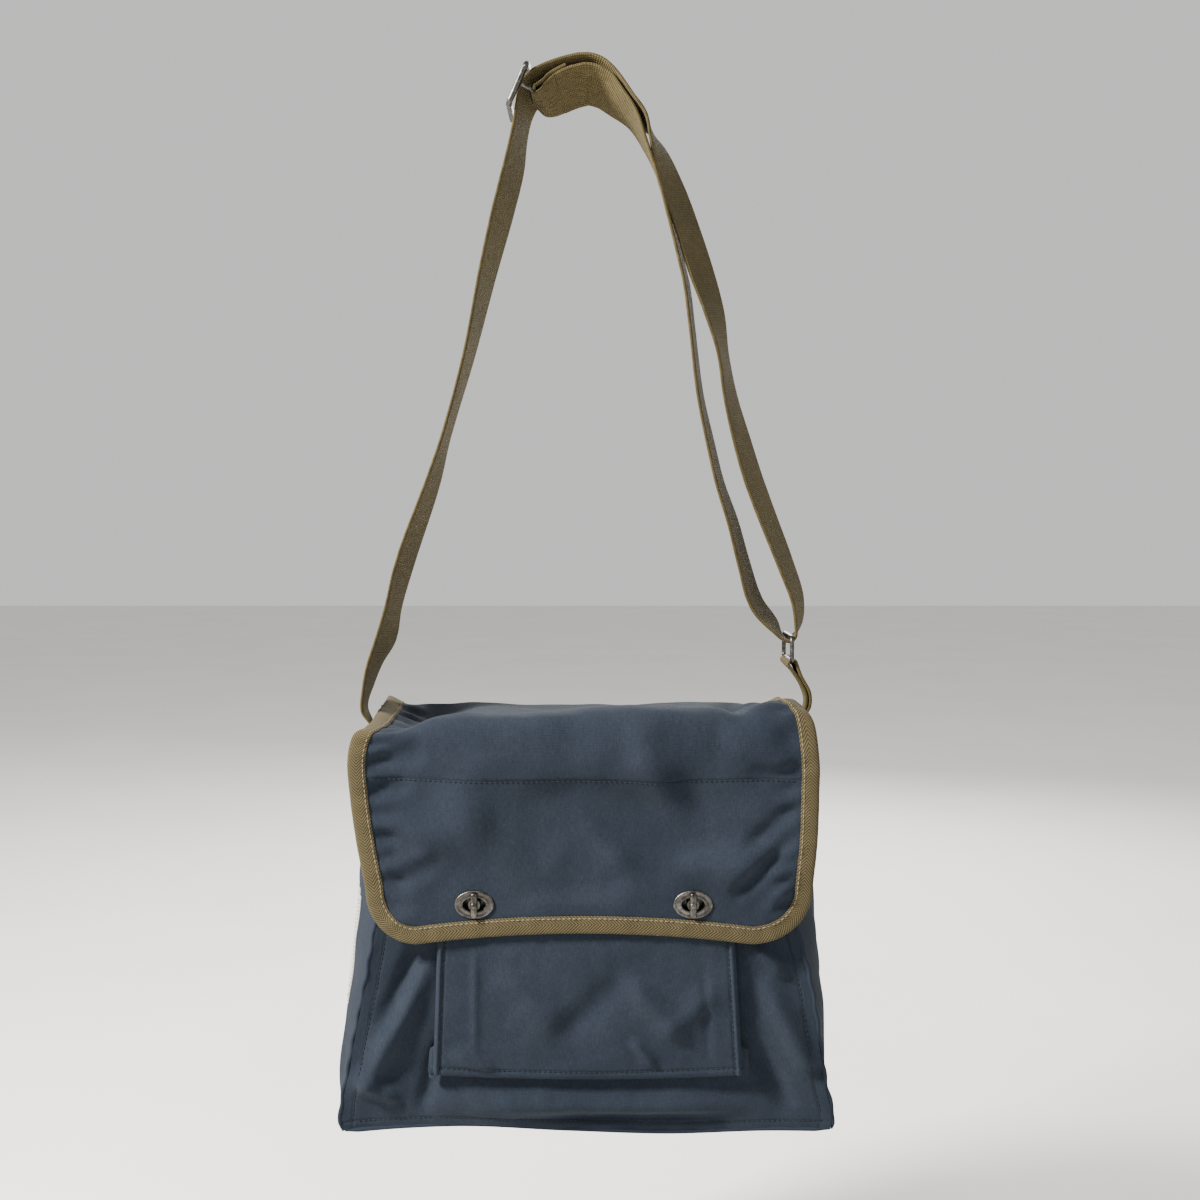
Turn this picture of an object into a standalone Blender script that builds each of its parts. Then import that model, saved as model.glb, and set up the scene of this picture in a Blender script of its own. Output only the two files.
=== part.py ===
"""Canvas mail bag that hangs from its own shoulder strap, as separate jointed pieces.

Metres, +Z up, X to the bag's right, +Y towards the wall behind it.  The origin is the underside of the
strap where it lies over a hook.  Every empty marks the axis of one moving body.
"""
import math

import bpy
import bmesh
from mathutils import Vector

# ---- cloth and clearances -------------------------------------------------------------------------
CANVAS = 0.0012
LINING = 0.0009
TAPE = 0.0008
WEBBING = 0.0022
WEBBING_WIDTH = 0.038
GAP = 0.0003

# ---- bag body -------------------------------------------------------------------------------------
BAG_X = -0.002
BOTTOM_Z = -0.760
MOUTH_Z = -0.472
FRONT_Y = -0.060
BACK_Y = 0.040
FRONT_HALF_WIDTHS = ((-0.760, 0.176), (-0.713, 0.1685), (-0.664, 0.159), (-0.611, 0.149), (-0.560, 0.141),
                     (-0.520, 0.139), (-0.472, 0.139))
BACK_HALF_BOTTOM = 0.175
BACK_HALF_TOP = 0.1612
GUSSET_BULGE = 0.010
GUSSET_EDGE_BULGE = 0.001
BACK_RISE = 0.0013
PANEL_ROWS = 16
GUSSET_COLUMNS = 12

# ---- strap anchors --------------------------------------------------------------------------------
SWING_Z = -0.470
PATCH_BOTTOM_Z = -0.520
PATCH_TOP_Z = -0.472
LABEL_Y = (-0.030, 0.008)
LABEL_Z = (-0.682, -0.602)
LABEL_THICKNESS = 0.0005

# ---- flap -----------------------------------------------------------------------------------------
LIFT_Y = 0.0392
FOLD_Y = -0.063
FOLD_Z = -0.4687
FLAP_TILT = math.radians(2.7)
FLAP_REAR_HALF = 0.1555
FLAP_FRONT_HALF = 0.1655
FLAP_TOP_GROWTH = 2.5
FLAP_CENTRE_DROP = 0.1475
FLAP_BOW = 0.544
CORNER_RADIUS = 0.038
CORNER_X = 0.1195
CORNER_DROP = 0.117
CORNER_START = math.radians(3.9)
CORNER_END = math.radians(97.1)
TAPE_WIDTH = 0.012
LINING_TOP_DROP = 0.038
FOLD_CLEARANCE = 0.0029
FLAP_TOP_FRONT_GAP = 0.0014
FLAP_TOP_REAR_GAP = 0.0004
FLAP_FRONT_TOP_GAP = 0.0009

# ---- front pocket ---------------------------------------------------------------------------------
POCKET_HALF_TOP = 0.106
POCKET_HALF_BOTTOM = 0.110
POCKET_MOUTH_Z = -0.609
POCKET_BOTTOM_Z = -0.722
POCKET_STANDOFF_TOP = 0.006
POCKET_STANDOFF_BOTTOM = 0.009
POCKET_SEAM_Z = -0.692
POCKET_FOLD_DEPTH = 0.018
POCKET_SIDE_SEAM_X = 0.104
POCKET_EAR_X = 0.114
POCKET_FOLD_FOOT_Z = -0.690

# ---- turn locks -----------------------------------------------------------------------------------
LOCK_X = 0.077
LOCK_Z = -0.596
PLATE_HALF = (0.014, 0.010)
SLOT_HALF = (0.00825, 0.005)
SLOT_CLEARANCE = 0.001
CUTTER_REACH = 0.006
BASE_HALF = (0.012, 0.007)
PLATE_THICKNESS = 0.001
BACKPLATE_THICKNESS = 0.0005
POST_RADIUS = 0.0042
POST_FRONT_Y = -0.0713
BORE_RADIUS = 0.0016
PIN_RADIUS = 0.00155
PIN_END_GAP = 0.0005
BORE_DEPTH = 0.006
KNOB_HALF = (0.0025, 0.008)
KNOB_BACK_Y = -0.0716
KNOB_THICKNESS = 0.0021
KNOB_ROUNDING = 0.0006
ROUND_POINTS = 48

# ---- strap route, seen from the front as (x, z) ---------------------------------------------------
LEFT_STRAND = ((-0.1681, -0.4697), (-0.1681, -0.4600), (-0.1673, -0.4510), (-0.1605, -0.4330),
               (-0.1520, -0.4160), (-0.1450, -0.3915), (-0.1362, -0.3594), (-0.1143, -0.2971),
               (-0.1050, -0.2660), (-0.0872, -0.2044))
STRAIGHT_TOP = (-0.0404, -0.0020)
OVER_HOOK = ((-0.0395, 0.0012), (-0.0362, 0.0034), (-0.0262, 0.0049), (-0.0126, 0.0063), (0.0009, 0.0065),
             (0.0110, 0.0030), (0.0224, -0.0050), (0.0331, -0.0210), (0.0424, -0.0340), (0.0508, -0.0516))
OUTER_STRAND = ((0.0508, -0.0516), (0.0748, -0.1121), (0.0935, -0.1730), (0.1030, -0.2200),
                (0.1143, -0.2661), (0.1356, -0.3282), (0.1481, -0.3594), (0.1576, -0.3880),
                (0.1572, -0.4060))
BEND_CENTRE = (0.1490, -0.4105)
BEND_RADIUS = 0.0075
BEND_START = math.radians(8)
BEND_END = math.radians(-165)
INNER_STRAND = ((0.1402, -0.4060), (0.1262, -0.3880), (0.1168, -0.3594), (0.1084, -0.3282),
                (0.0975, -0.2971), (0.0890, -0.2580), (0.0795, -0.2044), (0.0716, -0.1425),
                (0.0627, -0.1121), (0.0400, -0.0516))
UNDER_HOOK = ((0.0400, -0.0516), (0.0325, -0.0310), (0.0235, -0.0125), (0.0110, -0.0010), (0.0009, 0.0011),
              (-0.0126, -0.0012), (-0.0215, -0.0063))
SMOOTH_STEPS = 4
OUTER_SPLIT = 0.4
INNER_SPLIT = 0.6

# ---- ring, tab and slider -------------------------------------------------------------------------
WIRE_RADIUS = 0.0015
RING_X = 0.150
RING_TOP_Z = -0.4118
RING_BOTTOM_Z = -0.4298
RING_HALF_Y = 0.0215
RING_CORNER = 0.0024
TAB_EYE_RADIUS = 0.00295
TAB_NECK = (0.1548, -0.4385)
TAB_UPRIGHT = 0.0172
TAB_LEG_X = (0.1642, 0.1667)
TAB_EYE_START = math.radians(210)
TAB_EYE_END = math.radians(13)
SLIDER_CENTRE = (-0.0438, -0.0165)
SLIDER_HALF_LENGTH = 0.014
SLIDER_WIRE = 0.0013
SLIDER_CORNER = 0.002
SLIDER_LIFT = 0.0027
SLIDER_BAR_DROP = 0.0056
SLIDER_STAPLE_TOP = -0.0002
END_LOOP_LENGTH = 0.0205
END_LOOP_THROAT = 0.008
END_LOOP_START = math.radians(75)
END_LOOP_END = math.radians(285)
END_LOOP_TARGET = (-0.0126, -0.0005)

# ---- colours --------------------------------------------------------------------------------------
SLATE_CANVAS = (0.080, 0.110, 0.160, 1.0)
SLATE_LINING = (0.055, 0.075, 0.110, 1.0)
KHAKI = (0.270, 0.190, 0.090, 1.0)
OFF_WHITE = (0.62, 0.60, 0.55, 1.0)
ANTIQUE_NICKEL = (0.230, 0.215, 0.195, 1.0)

BODY_AXES = {
    "strap": (None, (0.0, 0.0, 0.0)),
    "bag": ("strap", (BAG_X, 0.0, SWING_Z)),
    "flap_top": ("bag", (BAG_X, LIFT_Y, FOLD_Z)),
    "flap_front": ("flap_top", (BAG_X, FOLD_Y, FOLD_Z)),
    "knob_left": ("bag", (BAG_X - LOCK_X, KNOB_BACK_Y, LOCK_Z)),
    "knob_right": ("bag", (BAG_X + LOCK_X, KNOB_BACK_Y, LOCK_Z)),
    "ring": ("strap", (RING_X, 0.0, RING_BOTTOM_Z)),
    "slider": ("strap", (SLIDER_CENTRE[0], 0.0, SLIDER_CENTRE[1])),
}
SIDES = {"left": -1, "right": 1}


# ---- building blocks ------------------------------------------------------------------------------
def clear_scene():
    for old in list(bpy.data.objects):
        bpy.data.objects.remove(old, do_unlink=True)


def make_axes():
    """One empty for each moving body, on its joint's axis, parented as the joints are."""
    for name, (parent, place) in BODY_AXES.items():
        empty = bpy.data.objects.new(name + "_axis", None)
        empty.empty_display_size = 0.02
        bpy.context.collection.objects.link(empty)
        empty.location = place
        if parent:
            empty.parent = bpy.data.objects[parent + "_axis"]
            empty.location = Vector(place) - Vector(BODY_AXES[parent][1])


def make_material(name, colour, roughness, metallic):
    material = bpy.data.materials.new(name)
    material.use_nodes = True
    shader = material.node_tree.nodes["Principled BSDF"]
    shader.inputs["Base Color"].default_value = colour
    shader.inputs["Roughness"].default_value = roughness
    shader.inputs["Metallic"].default_value = metallic
    return material


def loft(name, body, loops, colour, closed=False, roughness=0.9, metallic=0.0):
    """Join loops of equal length into one closed solid, capped at both ends unless it closes on itself."""
    pivot = Vector(BODY_AXES[body][1])
    solid = bmesh.new()
    rings = [[solid.verts.new(Vector(point) - pivot) for point in loop] for loop in loops]
    pairs = list(zip(rings, rings[1:]))
    if closed:
        pairs.append((rings[-1], rings[0]))
    for near, far in pairs:
        for index in range(len(near)):
            after = (index + 1) % len(near)
            solid.faces.new((near[index], near[after], far[after], far[index]))
    if not closed:
        solid.faces.new(rings[0])
        solid.faces.new(rings[-1])
    bmesh.ops.recalc_face_normals(solid, faces=solid.faces)
    mesh = bpy.data.meshes.new(name)
    solid.to_mesh(mesh)
    solid.free()
    piece = bpy.data.objects.new(name, mesh)
    bpy.context.collection.objects.link(piece)
    piece.parent = bpy.data.objects[body + "_axis"]
    mesh.materials.append(make_material(name, colour, roughness, metallic))
    return piece


def metal(name, body, loops, closed=False):
    return loft(name, body, loops, ANTIQUE_NICKEL, closed, roughness=0.35, metallic=1.0)


def interpolate(table, z):
    """Value at z in a rising table of (z, value) pairs."""
    for (low_z, low), (high_z, high) in zip(table, table[1:]):
        if z <= high_z:
            return low + (high - low) * (z - low_z) / (high_z - low_z)
    return table[-1][1]


def spaced(start, end, count):
    return [start + (end - start) * index / (count - 1) for index in range(count)]


def smooth_route(points, steps=SMOOTH_STEPS):
    """Catmull-Rom curve through a list of (x, z) points."""
    points = [Vector(point) for point in points]
    ends = [2 * points[0] - points[1]] + points + [2 * points[-1] - points[-2]]
    route = []
    for before, start, end, after in zip(ends, ends[1:], ends[2:], ends[3:]):
        for step in range(steps):
            t = step / steps
            route.append(0.5 * (2 * start + (end - before) * t
                                + (2 * before - 5 * start + 4 * end - after) * t ** 2
                                + (3 * start - before - 3 * end + after) * t ** 3))
    route.append(points[-1])
    return route


def normals(route):
    """Unit normals of a flat route, each turned a quarter turn from the local direction."""
    result = []
    for index in range(len(route)):
        ahead = route[min(index + 1, len(route) - 1)]
        behind = route[max(index - 1, 0)]
        direction = (ahead - behind).normalized()
        result.append(Vector((-direction.y, direction.x)))
    return result


def trimmed(route, start=0.0, end=0.0):
    """The same route with a short length cut from each end."""
    first = route[0] + (route[1] - route[0]).normalized() * start
    last = route[-1] + (route[-2] - route[-1]).normalized() * end
    return [first] + route[1:-1] + [last]


def ribbon(name, body, route, thickness=WEBBING):
    """Flat webbing that follows an (x, z) route with its width along Y."""
    half = WEBBING_WIDTH / 2
    loops = []
    for point, normal in zip(route, normals(route)):
        high = point + normal * thickness / 2
        low = point - normal * thickness / 2
        loops.append([(high.x, -half, high.y), (high.x, half, high.y),
                      (low.x, half, low.y), (low.x, -half, low.y)])
    return loft(name, body, loops, KHAKI)


def oval(half_width, half_height, count=ROUND_POINTS):
    """Points of an ellipse as (across, up) pairs."""
    turns = [2 * math.pi * index / count for index in range(count)]
    return [(half_width * math.cos(turn), half_height * math.sin(turn)) for turn in turns]


def capsule(half_width, half_height, count=ROUND_POINTS):
    """Points of an upright bar with round ends, as (across, up) pairs."""
    straight = half_height - half_width
    points = []
    for across, up in oval(half_width, half_width, count):
        points.append((across, up + math.copysign(straight, up)))
    return points


def tube_loops(centres, frames, radius, count=12):
    """Round sections at each centre, spanned by that centre's two unit vectors."""
    loops = []
    for centre, (first, second) in zip(centres, frames):
        loops.append([centre + first * across + second * up for across, up in oval(radius, radius, count)])
    return loops


# ---- bag body -------------------------------------------------------------------------------------
def front_half(z):
    return interpolate(FRONT_HALF_WIDTHS, z)


def back_half(z):
    share = (z - BOTTOM_Z) / (MOUTH_Z - BOTTOM_Z)
    return BACK_HALF_BOTTOM + (BACK_HALF_TOP - BACK_HALF_BOTTOM) * share


def gusset_half(y, z):
    """Outer half-width of the bag at a depth and height: it bellies out halfway up."""
    front_edge = FRONT_Y + CANVAS + GAP
    depth = (y - front_edge) / (BACK_Y - CANVAS - GAP - front_edge)
    height = (z - BOTTOM_Z) / (MOUTH_Z - BOTTOM_Z)
    spread = 1 - (1 - depth) ** 2
    bulge = (GUSSET_EDGE_BULGE + GUSSET_BULGE * math.sin(math.pi * height)) * math.sin(math.pi * depth)
    return front_half(z) + (back_half(z) - front_half(z)) * spread + bulge


def upright_panel(name, half_width, near_y, far_y, low_z, high_z):
    heights = spaced(low_z, high_z, PANEL_ROWS)
    outline = [(BAG_X + half_width(z), z) for z in heights]
    outline += [(BAG_X - half_width(z), z) for z in reversed(heights)]
    loops = [[(x, y, z) for x, z in outline] for y in (near_y, far_y)]
    return loft(name, "bag", loops, SLATE_CANVAS)


def side_sheet(name, side, y_range, z_range, lift, thickness, colour, rows=PANEL_ROWS):
    """A sheet that follows the outside of one gusset, from a lift outside it inwards by a thickness."""
    depths = spaced(y_range[0], y_range[1], GUSSET_COLUMNS)
    loops = []
    for z in spaced(z_range[0], z_range[1], rows):
        outer = [(BAG_X + side * (gusset_half(y, z) + lift), y, z) for y in depths]
        inner = [(BAG_X + side * (gusset_half(y, z) + lift - thickness), y, z) for y in reversed(depths)]
        loops.append(outer + inner)
    return loft(name, "bag", loops, colour)


def make_bag():
    skirt_z = BOTTOM_Z + GAP
    upright_panel("front_panel", front_half, FRONT_Y, FRONT_Y + CANVAS, skirt_z, MOUTH_Z)
    upright_panel("back_panel", back_half, BACK_Y - CANVAS, BACK_Y, skirt_z, MOUTH_Z + BACK_RISE)
    depth_range = (FRONT_Y + CANVAS + GAP, BACK_Y - CANVAS - GAP)
    height_range = (BOTTOM_Z + CANVAS + GAP, MOUTH_Z)
    for word, side in SIDES.items():
        side_sheet("gusset_" + word, side, depth_range, height_range, 0.0, CANVAS, SLATE_CANVAS)
    front, back = front_half(BOTTOM_Z), back_half(BOTTOM_Z)
    near, far = depth_range
    outline = ((BAG_X - front, near), (BAG_X + front, near), (BAG_X + back, far), (BAG_X - back, far))
    loops = [[(x, y, z) for x, y in outline] for z in (BOTTOM_Z, BOTTOM_Z + CANVAS)]
    loft("bottom_panel", "bag", loops, SLATE_CANVAS)


def make_side_patches():
    half = WEBBING_WIDTH / 2
    patch_range = (PATCH_BOTTOM_Z, PATCH_TOP_Z)
    for name, side in (("strap_patch_left", -1), ("tab_patch_right", 1)):
        side_sheet(name, side, (-half, half), patch_range, GAP + WEBBING, WEBBING, KHAKI, rows=6)
    side_sheet("side_label", -1, LABEL_Y, LABEL_Z, GAP + LABEL_THICKNESS, LABEL_THICKNESS, OFF_WHITE)


# ---- front pocket ---------------------------------------------------------------------------------
def pocket_inner_y(z):
    share = (POCKET_MOUTH_Z - z) / (POCKET_MOUTH_Z - POCKET_BOTTOM_Z)
    return FRONT_Y - POCKET_STANDOFF_TOP - (POCKET_STANDOFF_BOTTOM - POCKET_STANDOFF_TOP) * share


def make_pocket():
    corners = ((-POCKET_HALF_TOP, POCKET_MOUTH_Z), (POCKET_HALF_TOP, POCKET_MOUTH_Z),
               (POCKET_HALF_BOTTOM, POCKET_BOTTOM_Z), (-POCKET_HALF_BOTTOM, POCKET_BOTTOM_Z))
    loops = [[(BAG_X + x, pocket_inner_y(z) - offset, z) for x, z in corners] for offset in (0.0, CANVAS)]
    loft("pocket_front", "bag", loops, SLATE_CANVAS)
    for word, side in SIDES.items():
        pocket_side_fold("pocket_gusset_" + word, side)
    near, far = pocket_inner_y(POCKET_BOTTOM_Z) + GAP, FRONT_Y - GAP
    profile = ((near, POCKET_BOTTOM_Z), (near + CANVAS, POCKET_BOTTOM_Z), (far, POCKET_SEAM_Z - CANVAS),
               (far, POCKET_SEAM_Z), (far - CANVAS, POCKET_SEAM_Z))
    loops = [[(BAG_X + x, y, z) for y, z in profile] for x in (-POCKET_EAR_X, POCKET_EAR_X)]
    loft("pocket_gusset_bottom", "bag", loops, SLATE_CANVAS)


def pocket_side_fold(name, side):
    """The bellows side: one strip folded inwards, from the pocket's edge to a fold and back to the bag."""
    seam, fold = POCKET_SIDE_SEAM_X, POCKET_SIDE_SEAM_X - POCKET_FOLD_DEPTH
    loops = []
    for z in (POCKET_FOLD_FOOT_Z, POCKET_MOUTH_Z):
        near, far = pocket_inner_y(z) + GAP, FRONT_Y - GAP
        middle = (near + far) / 2
        profile = ((seam, near), (fold, near), (fold, far), (seam, far), (seam, far - LINING),
                   (fold + LINING, far - LINING), (fold + LINING, middle), (fold + LINING, near + LINING),
                   (seam, near + LINING))
        loops.append([(BAG_X + side * x, y, z) for x, y in profile])
    loft(name, "bag", loops, SLATE_CANVAS)


# ---- flap -----------------------------------------------------------------------------------------
TAPE_HALF = CANVAS / 2 + GAP + TAPE
TAPE_SECTION = ((0.0, -TAPE_HALF), (TAPE_WIDTH, -TAPE_HALF), (TAPE_WIDTH, TAPE - TAPE_HALF),
                (TAPE, TAPE - TAPE_HALF), (TAPE, TAPE_HALF - TAPE), (TAPE_WIDTH, TAPE_HALF - TAPE),
                (TAPE_WIDTH, TAPE_HALF), (0.0, TAPE_HALF))


def flap_point(x, drop, lift):
    """A point of the hanging flap: across, down along it from the fold, and out from its middle."""
    y = FOLD_Y - drop * math.sin(FLAP_TILT) - lift * math.cos(FLAP_TILT)
    z = FOLD_Z - drop * math.cos(FLAP_TILT) + lift * math.sin(FLAP_TILT)
    return Vector((BAG_X + x, y, z))


def flap_edge(inset, top_drop):
    """The flap's outline from top left round to top right, moved inwards by an inset."""
    start_x = CORNER_X + CORNER_RADIUS * math.cos(CORNER_START)
    start_drop = CORNER_DROP + CORNER_RADIUS * math.sin(CORNER_START)
    lean = (FLAP_FRONT_HALF - start_x) / start_drop
    radius = CORNER_RADIUS - inset
    half = [(FLAP_FRONT_HALF - lean * drop - inset, drop) for drop in spaced(top_drop, CORNER_DROP, 6)]
    for turn in spaced(CORNER_START, CORNER_END, 11):
        half.append((CORNER_X + radius * math.cos(turn), CORNER_DROP + radius * math.sin(turn)))
    for x in reversed(spaced(0.0, half[-1][0], 7)[:-1]):
        half.append((x, FLAP_CENTRE_DROP - inset + FLAP_BOW * x ** 2))
    left = [(-x, drop) for x, drop in half]
    return left + list(reversed(half))[1:]


def flap_top_half(y):
    share = (LIFT_Y - y) / (LIFT_Y - FOLD_Y)
    return FLAP_REAR_HALF + (FLAP_FRONT_HALF - FLAP_REAR_HALF) * share ** FLAP_TOP_GROWTH


def cut_slots(piece, clearance):
    """Cut both lock slots through a hanging layer, wider than the metal slot by a clearance."""
    for word, side in SIDES.items():
        outline = oval(SLOT_HALF[0] + clearance, SLOT_HALF[1] + clearance)
        drop = (FOLD_Z - LOCK_Z) / math.cos(FLAP_TILT)
        loops = [[flap_point(side * LOCK_X + across, drop - up, lift) for across, up in outline]
                 for lift in (-CUTTER_REACH, CUTTER_REACH)]
        cutter = loft(piece.name + "_slot_" + word, "flap_front", loops, SLATE_LINING)
        cutter.hide_render = True
        cutter.display_type = "WIRE"
        cut = piece.modifiers.new("slot_" + word, "BOOLEAN")
        cut.operation = "DIFFERENCE"
        cut.solver = "EXACT"
        cut.object = cutter


def make_flap_top():
    depths = spaced(FOLD_Y + FLAP_TOP_FRONT_GAP, LIFT_Y - FLAP_TOP_REAR_GAP, 9)
    inset = TAPE + GAP
    outline = [(flap_top_half(y) - inset, y) for y in depths]
    outline += [(inset - flap_top_half(y), y) for y in reversed(depths)]
    loops = [[(BAG_X + x, y, FOLD_Z + lift) for x, y in outline] for lift in (-CANVAS / 2, CANVAS / 2)]
    loft("flap_top_panel", "flap_top", loops, SLATE_CANVAS)
    tape_depths = spaced(FOLD_Y + FOLD_CLEARANCE, LIFT_Y - FLAP_TOP_REAR_GAP, 9)
    for word, side in SIDES.items():
        loops = []
        for y in tape_depths:
            edge = flap_top_half(y)
            loops.append([(BAG_X + side * (edge - inward), y, FOLD_Z + up) for inward, up in TAPE_SECTION])
        loft("flap_top_binding_" + word, "flap_top", loops, KHAKI)


def make_flap_front():
    outline = flap_edge(TAPE + GAP, FLAP_FRONT_TOP_GAP)
    loops = [[flap_point(x, drop, lift) for x, drop in outline] for lift in (-CANVAS / 2, CANVAS / 2)]
    panel = loft("flap_front_panel", "flap_front", loops, SLATE_CANVAS)
    cut_slots(panel, SLOT_CLEARANCE)
    outline = flap_edge(TAPE_WIDTH + 2 * GAP, LINING_TOP_DROP)
    back = -CANVAS / 2 - GAP
    loops = [[flap_point(x, drop, lift) for x, drop in outline] for lift in (back - LINING, back)]
    lining = loft("flap_front_lining", "flap_front", loops, SLATE_LINING)
    cut_slots(lining, SLOT_CLEARANCE)
    outer_edge = [Vector(point) for point in flap_edge(0.0, FOLD_CLEARANCE)]
    inner_edge = [Vector(point) for point in flap_edge(TAPE_WIDTH, FOLD_CLEARANCE)]
    loops = []
    for outer, inner in zip(outer_edge, inner_edge):
        places = [outer.lerp(inner, inward / TAPE_WIDTH) for inward, _ in TAPE_SECTION]
        loops.append([flap_point(place.x, place.y, up) for place, (_, up) in zip(places, TAPE_SECTION)])
    loft("flap_front_binding", "flap_front", loops, KHAKI)


# ---- turn locks -----------------------------------------------------------------------------------
def slotted_plate(name, side, outer_half, back_lift, front_lift):
    drop = (FOLD_Z - LOCK_Z) / math.cos(FLAP_TILT)
    outer = oval(*outer_half)
    slot = oval(*SLOT_HALF)
    loops = []
    for outline, lift in ((outer, back_lift), (outer, front_lift), (slot, front_lift), (slot, back_lift)):
        loops.append([flap_point(side * LOCK_X + across, drop - up, lift) for across, up in outline])
    return metal(name, "flap_front", loops, closed=True)


def upright_outline(centre_x, y, outline):
    return [(centre_x + across, y, LOCK_Z + up) for across, up in outline]


def make_turn_lock(word, side):
    centre = BAG_X + side * LOCK_X
    front = CANVAS / 2 + GAP
    slotted_plate("turnlock_eyelet_" + word, side, PLATE_HALF, front, front + PLATE_THICKNESS)
    back = -CANVAS / 2 - GAP - LINING - GAP
    slotted_plate("turnlock_backplate_" + word, side, PLATE_HALF, back - BACKPLATE_THICKNESS, back)
    base_back, base_front = FRONT_Y - GAP, FRONT_Y - GAP - PLATE_THICKNESS
    plate, post, bore = oval(*BASE_HALF), oval(POST_RADIUS, POST_RADIUS), oval(BORE_RADIUS, BORE_RADIUS)
    stations = ((plate, base_back), (plate, base_front), (post, base_front), (post, POST_FRONT_Y),
                (bore, POST_FRONT_Y), (bore, POST_FRONT_Y + BORE_DEPTH))
    metal("turnlock_base_" + word, "bag", [upright_outline(centre, y, shape) for shape, y in stations])
    inside = FRONT_Y + CANVAS + GAP
    stations = ((plate, inside), (plate, inside + BACKPLATE_THICKNESS))
    metal("turnlock_washer_" + word, "bag", [upright_outline(centre, y, shape) for shape, y in stations])
    make_knob(word, centre)


def make_knob(word, centre):
    """The bar that turns, with its pin in the post's bore."""
    pin = oval(PIN_RADIUS, PIN_RADIUS)
    bar = capsule(*KNOB_HALF)
    crown = capsule(KNOB_HALF[0] - KNOB_ROUNDING, KNOB_HALF[1] - KNOB_ROUNDING)
    front = KNOB_BACK_Y - KNOB_THICKNESS
    stations = ((pin, POST_FRONT_Y + BORE_DEPTH - PIN_END_GAP), (pin, KNOB_BACK_Y), (bar, KNOB_BACK_Y),
                (bar, front + KNOB_ROUNDING), (crown, front))
    loops = [upright_outline(centre, y, shape) for shape, y in stations]
    metal("turnlock_knob_" + word, "knob_" + word, loops)


# ---- strap ----------------------------------------------------------------------------------------
def bend_under_ring():
    """The turn where the webbing goes round inside the ring, from the outer strand to the inner."""
    centre = Vector(BEND_CENTRE)
    turns = spaced(BEND_START, BEND_END, 15)
    arc = [centre + BEND_RADIUS * Vector((math.cos(turn), math.sin(turn))) for turn in turns]
    return [Vector(OUTER_STRAND[-1])] + arc + [Vector(INNER_STRAND[0])]


def split_route(route, share):
    index = round((len(route) - 1) * share)
    return route[:index + 1], route[index:]


def make_strap():
    """One long webbing, modelled as runs that meet end to end."""
    left = smooth_route(LEFT_STRAND)
    ribbon("strap_left_lower", "strap", trimmed(left, 0.0, GAP))
    straight = [Vector(LEFT_STRAND[-1]), Vector(STRAIGHT_TOP)]
    ribbon("strap_left_upper", "strap", trimmed(straight, GAP, GAP))
    ribbon("strap_over_hook", "strap", trimmed(smooth_route((STRAIGHT_TOP,) + OVER_HOOK), GAP, GAP))
    upper, lower = split_route(smooth_route(OUTER_STRAND), OUTER_SPLIT)
    ribbon("strap_outer_upper", "strap", trimmed(upper, GAP, GAP))
    ribbon("strap_outer_lower", "strap", trimmed(lower, GAP, GAP))
    ribbon("strap_ring_bend", "strap", trimmed(bend_under_ring(), GAP, GAP))
    lower, upper = split_route(smooth_route(INNER_STRAND), INNER_SPLIT)
    ribbon("strap_inner_lower", "strap", trimmed(lower, GAP, GAP))
    ribbon("strap_inner_upper", "strap", trimmed(upper, GAP, GAP))
    ribbon("strap_under_hook", "strap", trimmed(smooth_route(UNDER_HOOK), GAP, GAP))


def make_tab():
    """The short doubled tab that holds the ring, from one leg over the ring's lower bar to the other."""
    inner_leg, outer_leg = TAB_LEG_X
    half = (outer_leg - inner_leg) / 2
    neck = Vector(TAB_NECK)
    eye = Vector((RING_X, RING_BOTTOM_Z))
    turns = spaced(TAB_EYE_START, TAB_EYE_END, 13)
    arc = [eye + TAB_EYE_RADIUS * Vector((math.cos(turn), math.sin(turn))) for turn in turns]
    beside = Vector((half, 0.0))
    foot_z = SWING_Z + GAP
    knee_z = foot_z + TAB_UPRIGHT
    route = [Vector((inner_leg, foot_z)), Vector((inner_leg, knee_z)), neck - beside]
    route += arc
    route += [neck + beside, Vector((outer_leg, knee_z)), Vector((outer_leg, foot_z))]
    ribbon("tab_loop", "strap", route)


def make_ring():
    """Rectangular wire ring that lies across the webbing, in the YZ plane."""
    middle_z = (RING_TOP_Z + RING_BOTTOM_Z) / 2
    half_z = (RING_TOP_Z - RING_BOTTOM_Z) / 2
    centres = []
    for corner_y, corner_z, start in ((1, 1, 0), (-1, 1, 90), (-1, -1, 180), (1, -1, 270)):
        centre_y = corner_y * (RING_HALF_Y - RING_CORNER)
        centre = Vector((RING_X, centre_y, middle_z + corner_z * (half_z - RING_CORNER)))
        for turn in spaced(math.radians(start), math.radians(start + 90), 6):
            centres.append(centre + RING_CORNER * Vector((0.0, math.cos(turn), math.sin(turn))))
    across = Vector((1.0, 0.0, 0.0))
    frames = []
    for index in range(len(centres)):
        along = (centres[(index + 1) % len(centres)] - centres[index - 1]).normalized()
        frames.append((across, along.cross(across)))
    metal("ring", "ring", tube_loops(centres, frames, WIRE_RADIUS), closed=True)


# ---- slider ---------------------------------------------------------------------------------------
def slider_vectors():
    """Unit vectors along the straight strand, upwards, and out of its outer face."""
    along = (Vector(STRAIGHT_TOP) - Vector(LEFT_STRAND[-1])).normalized()
    return Vector((along.x, 0.0, along.y)), Vector((-along.y, 0.0, along.x))


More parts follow.
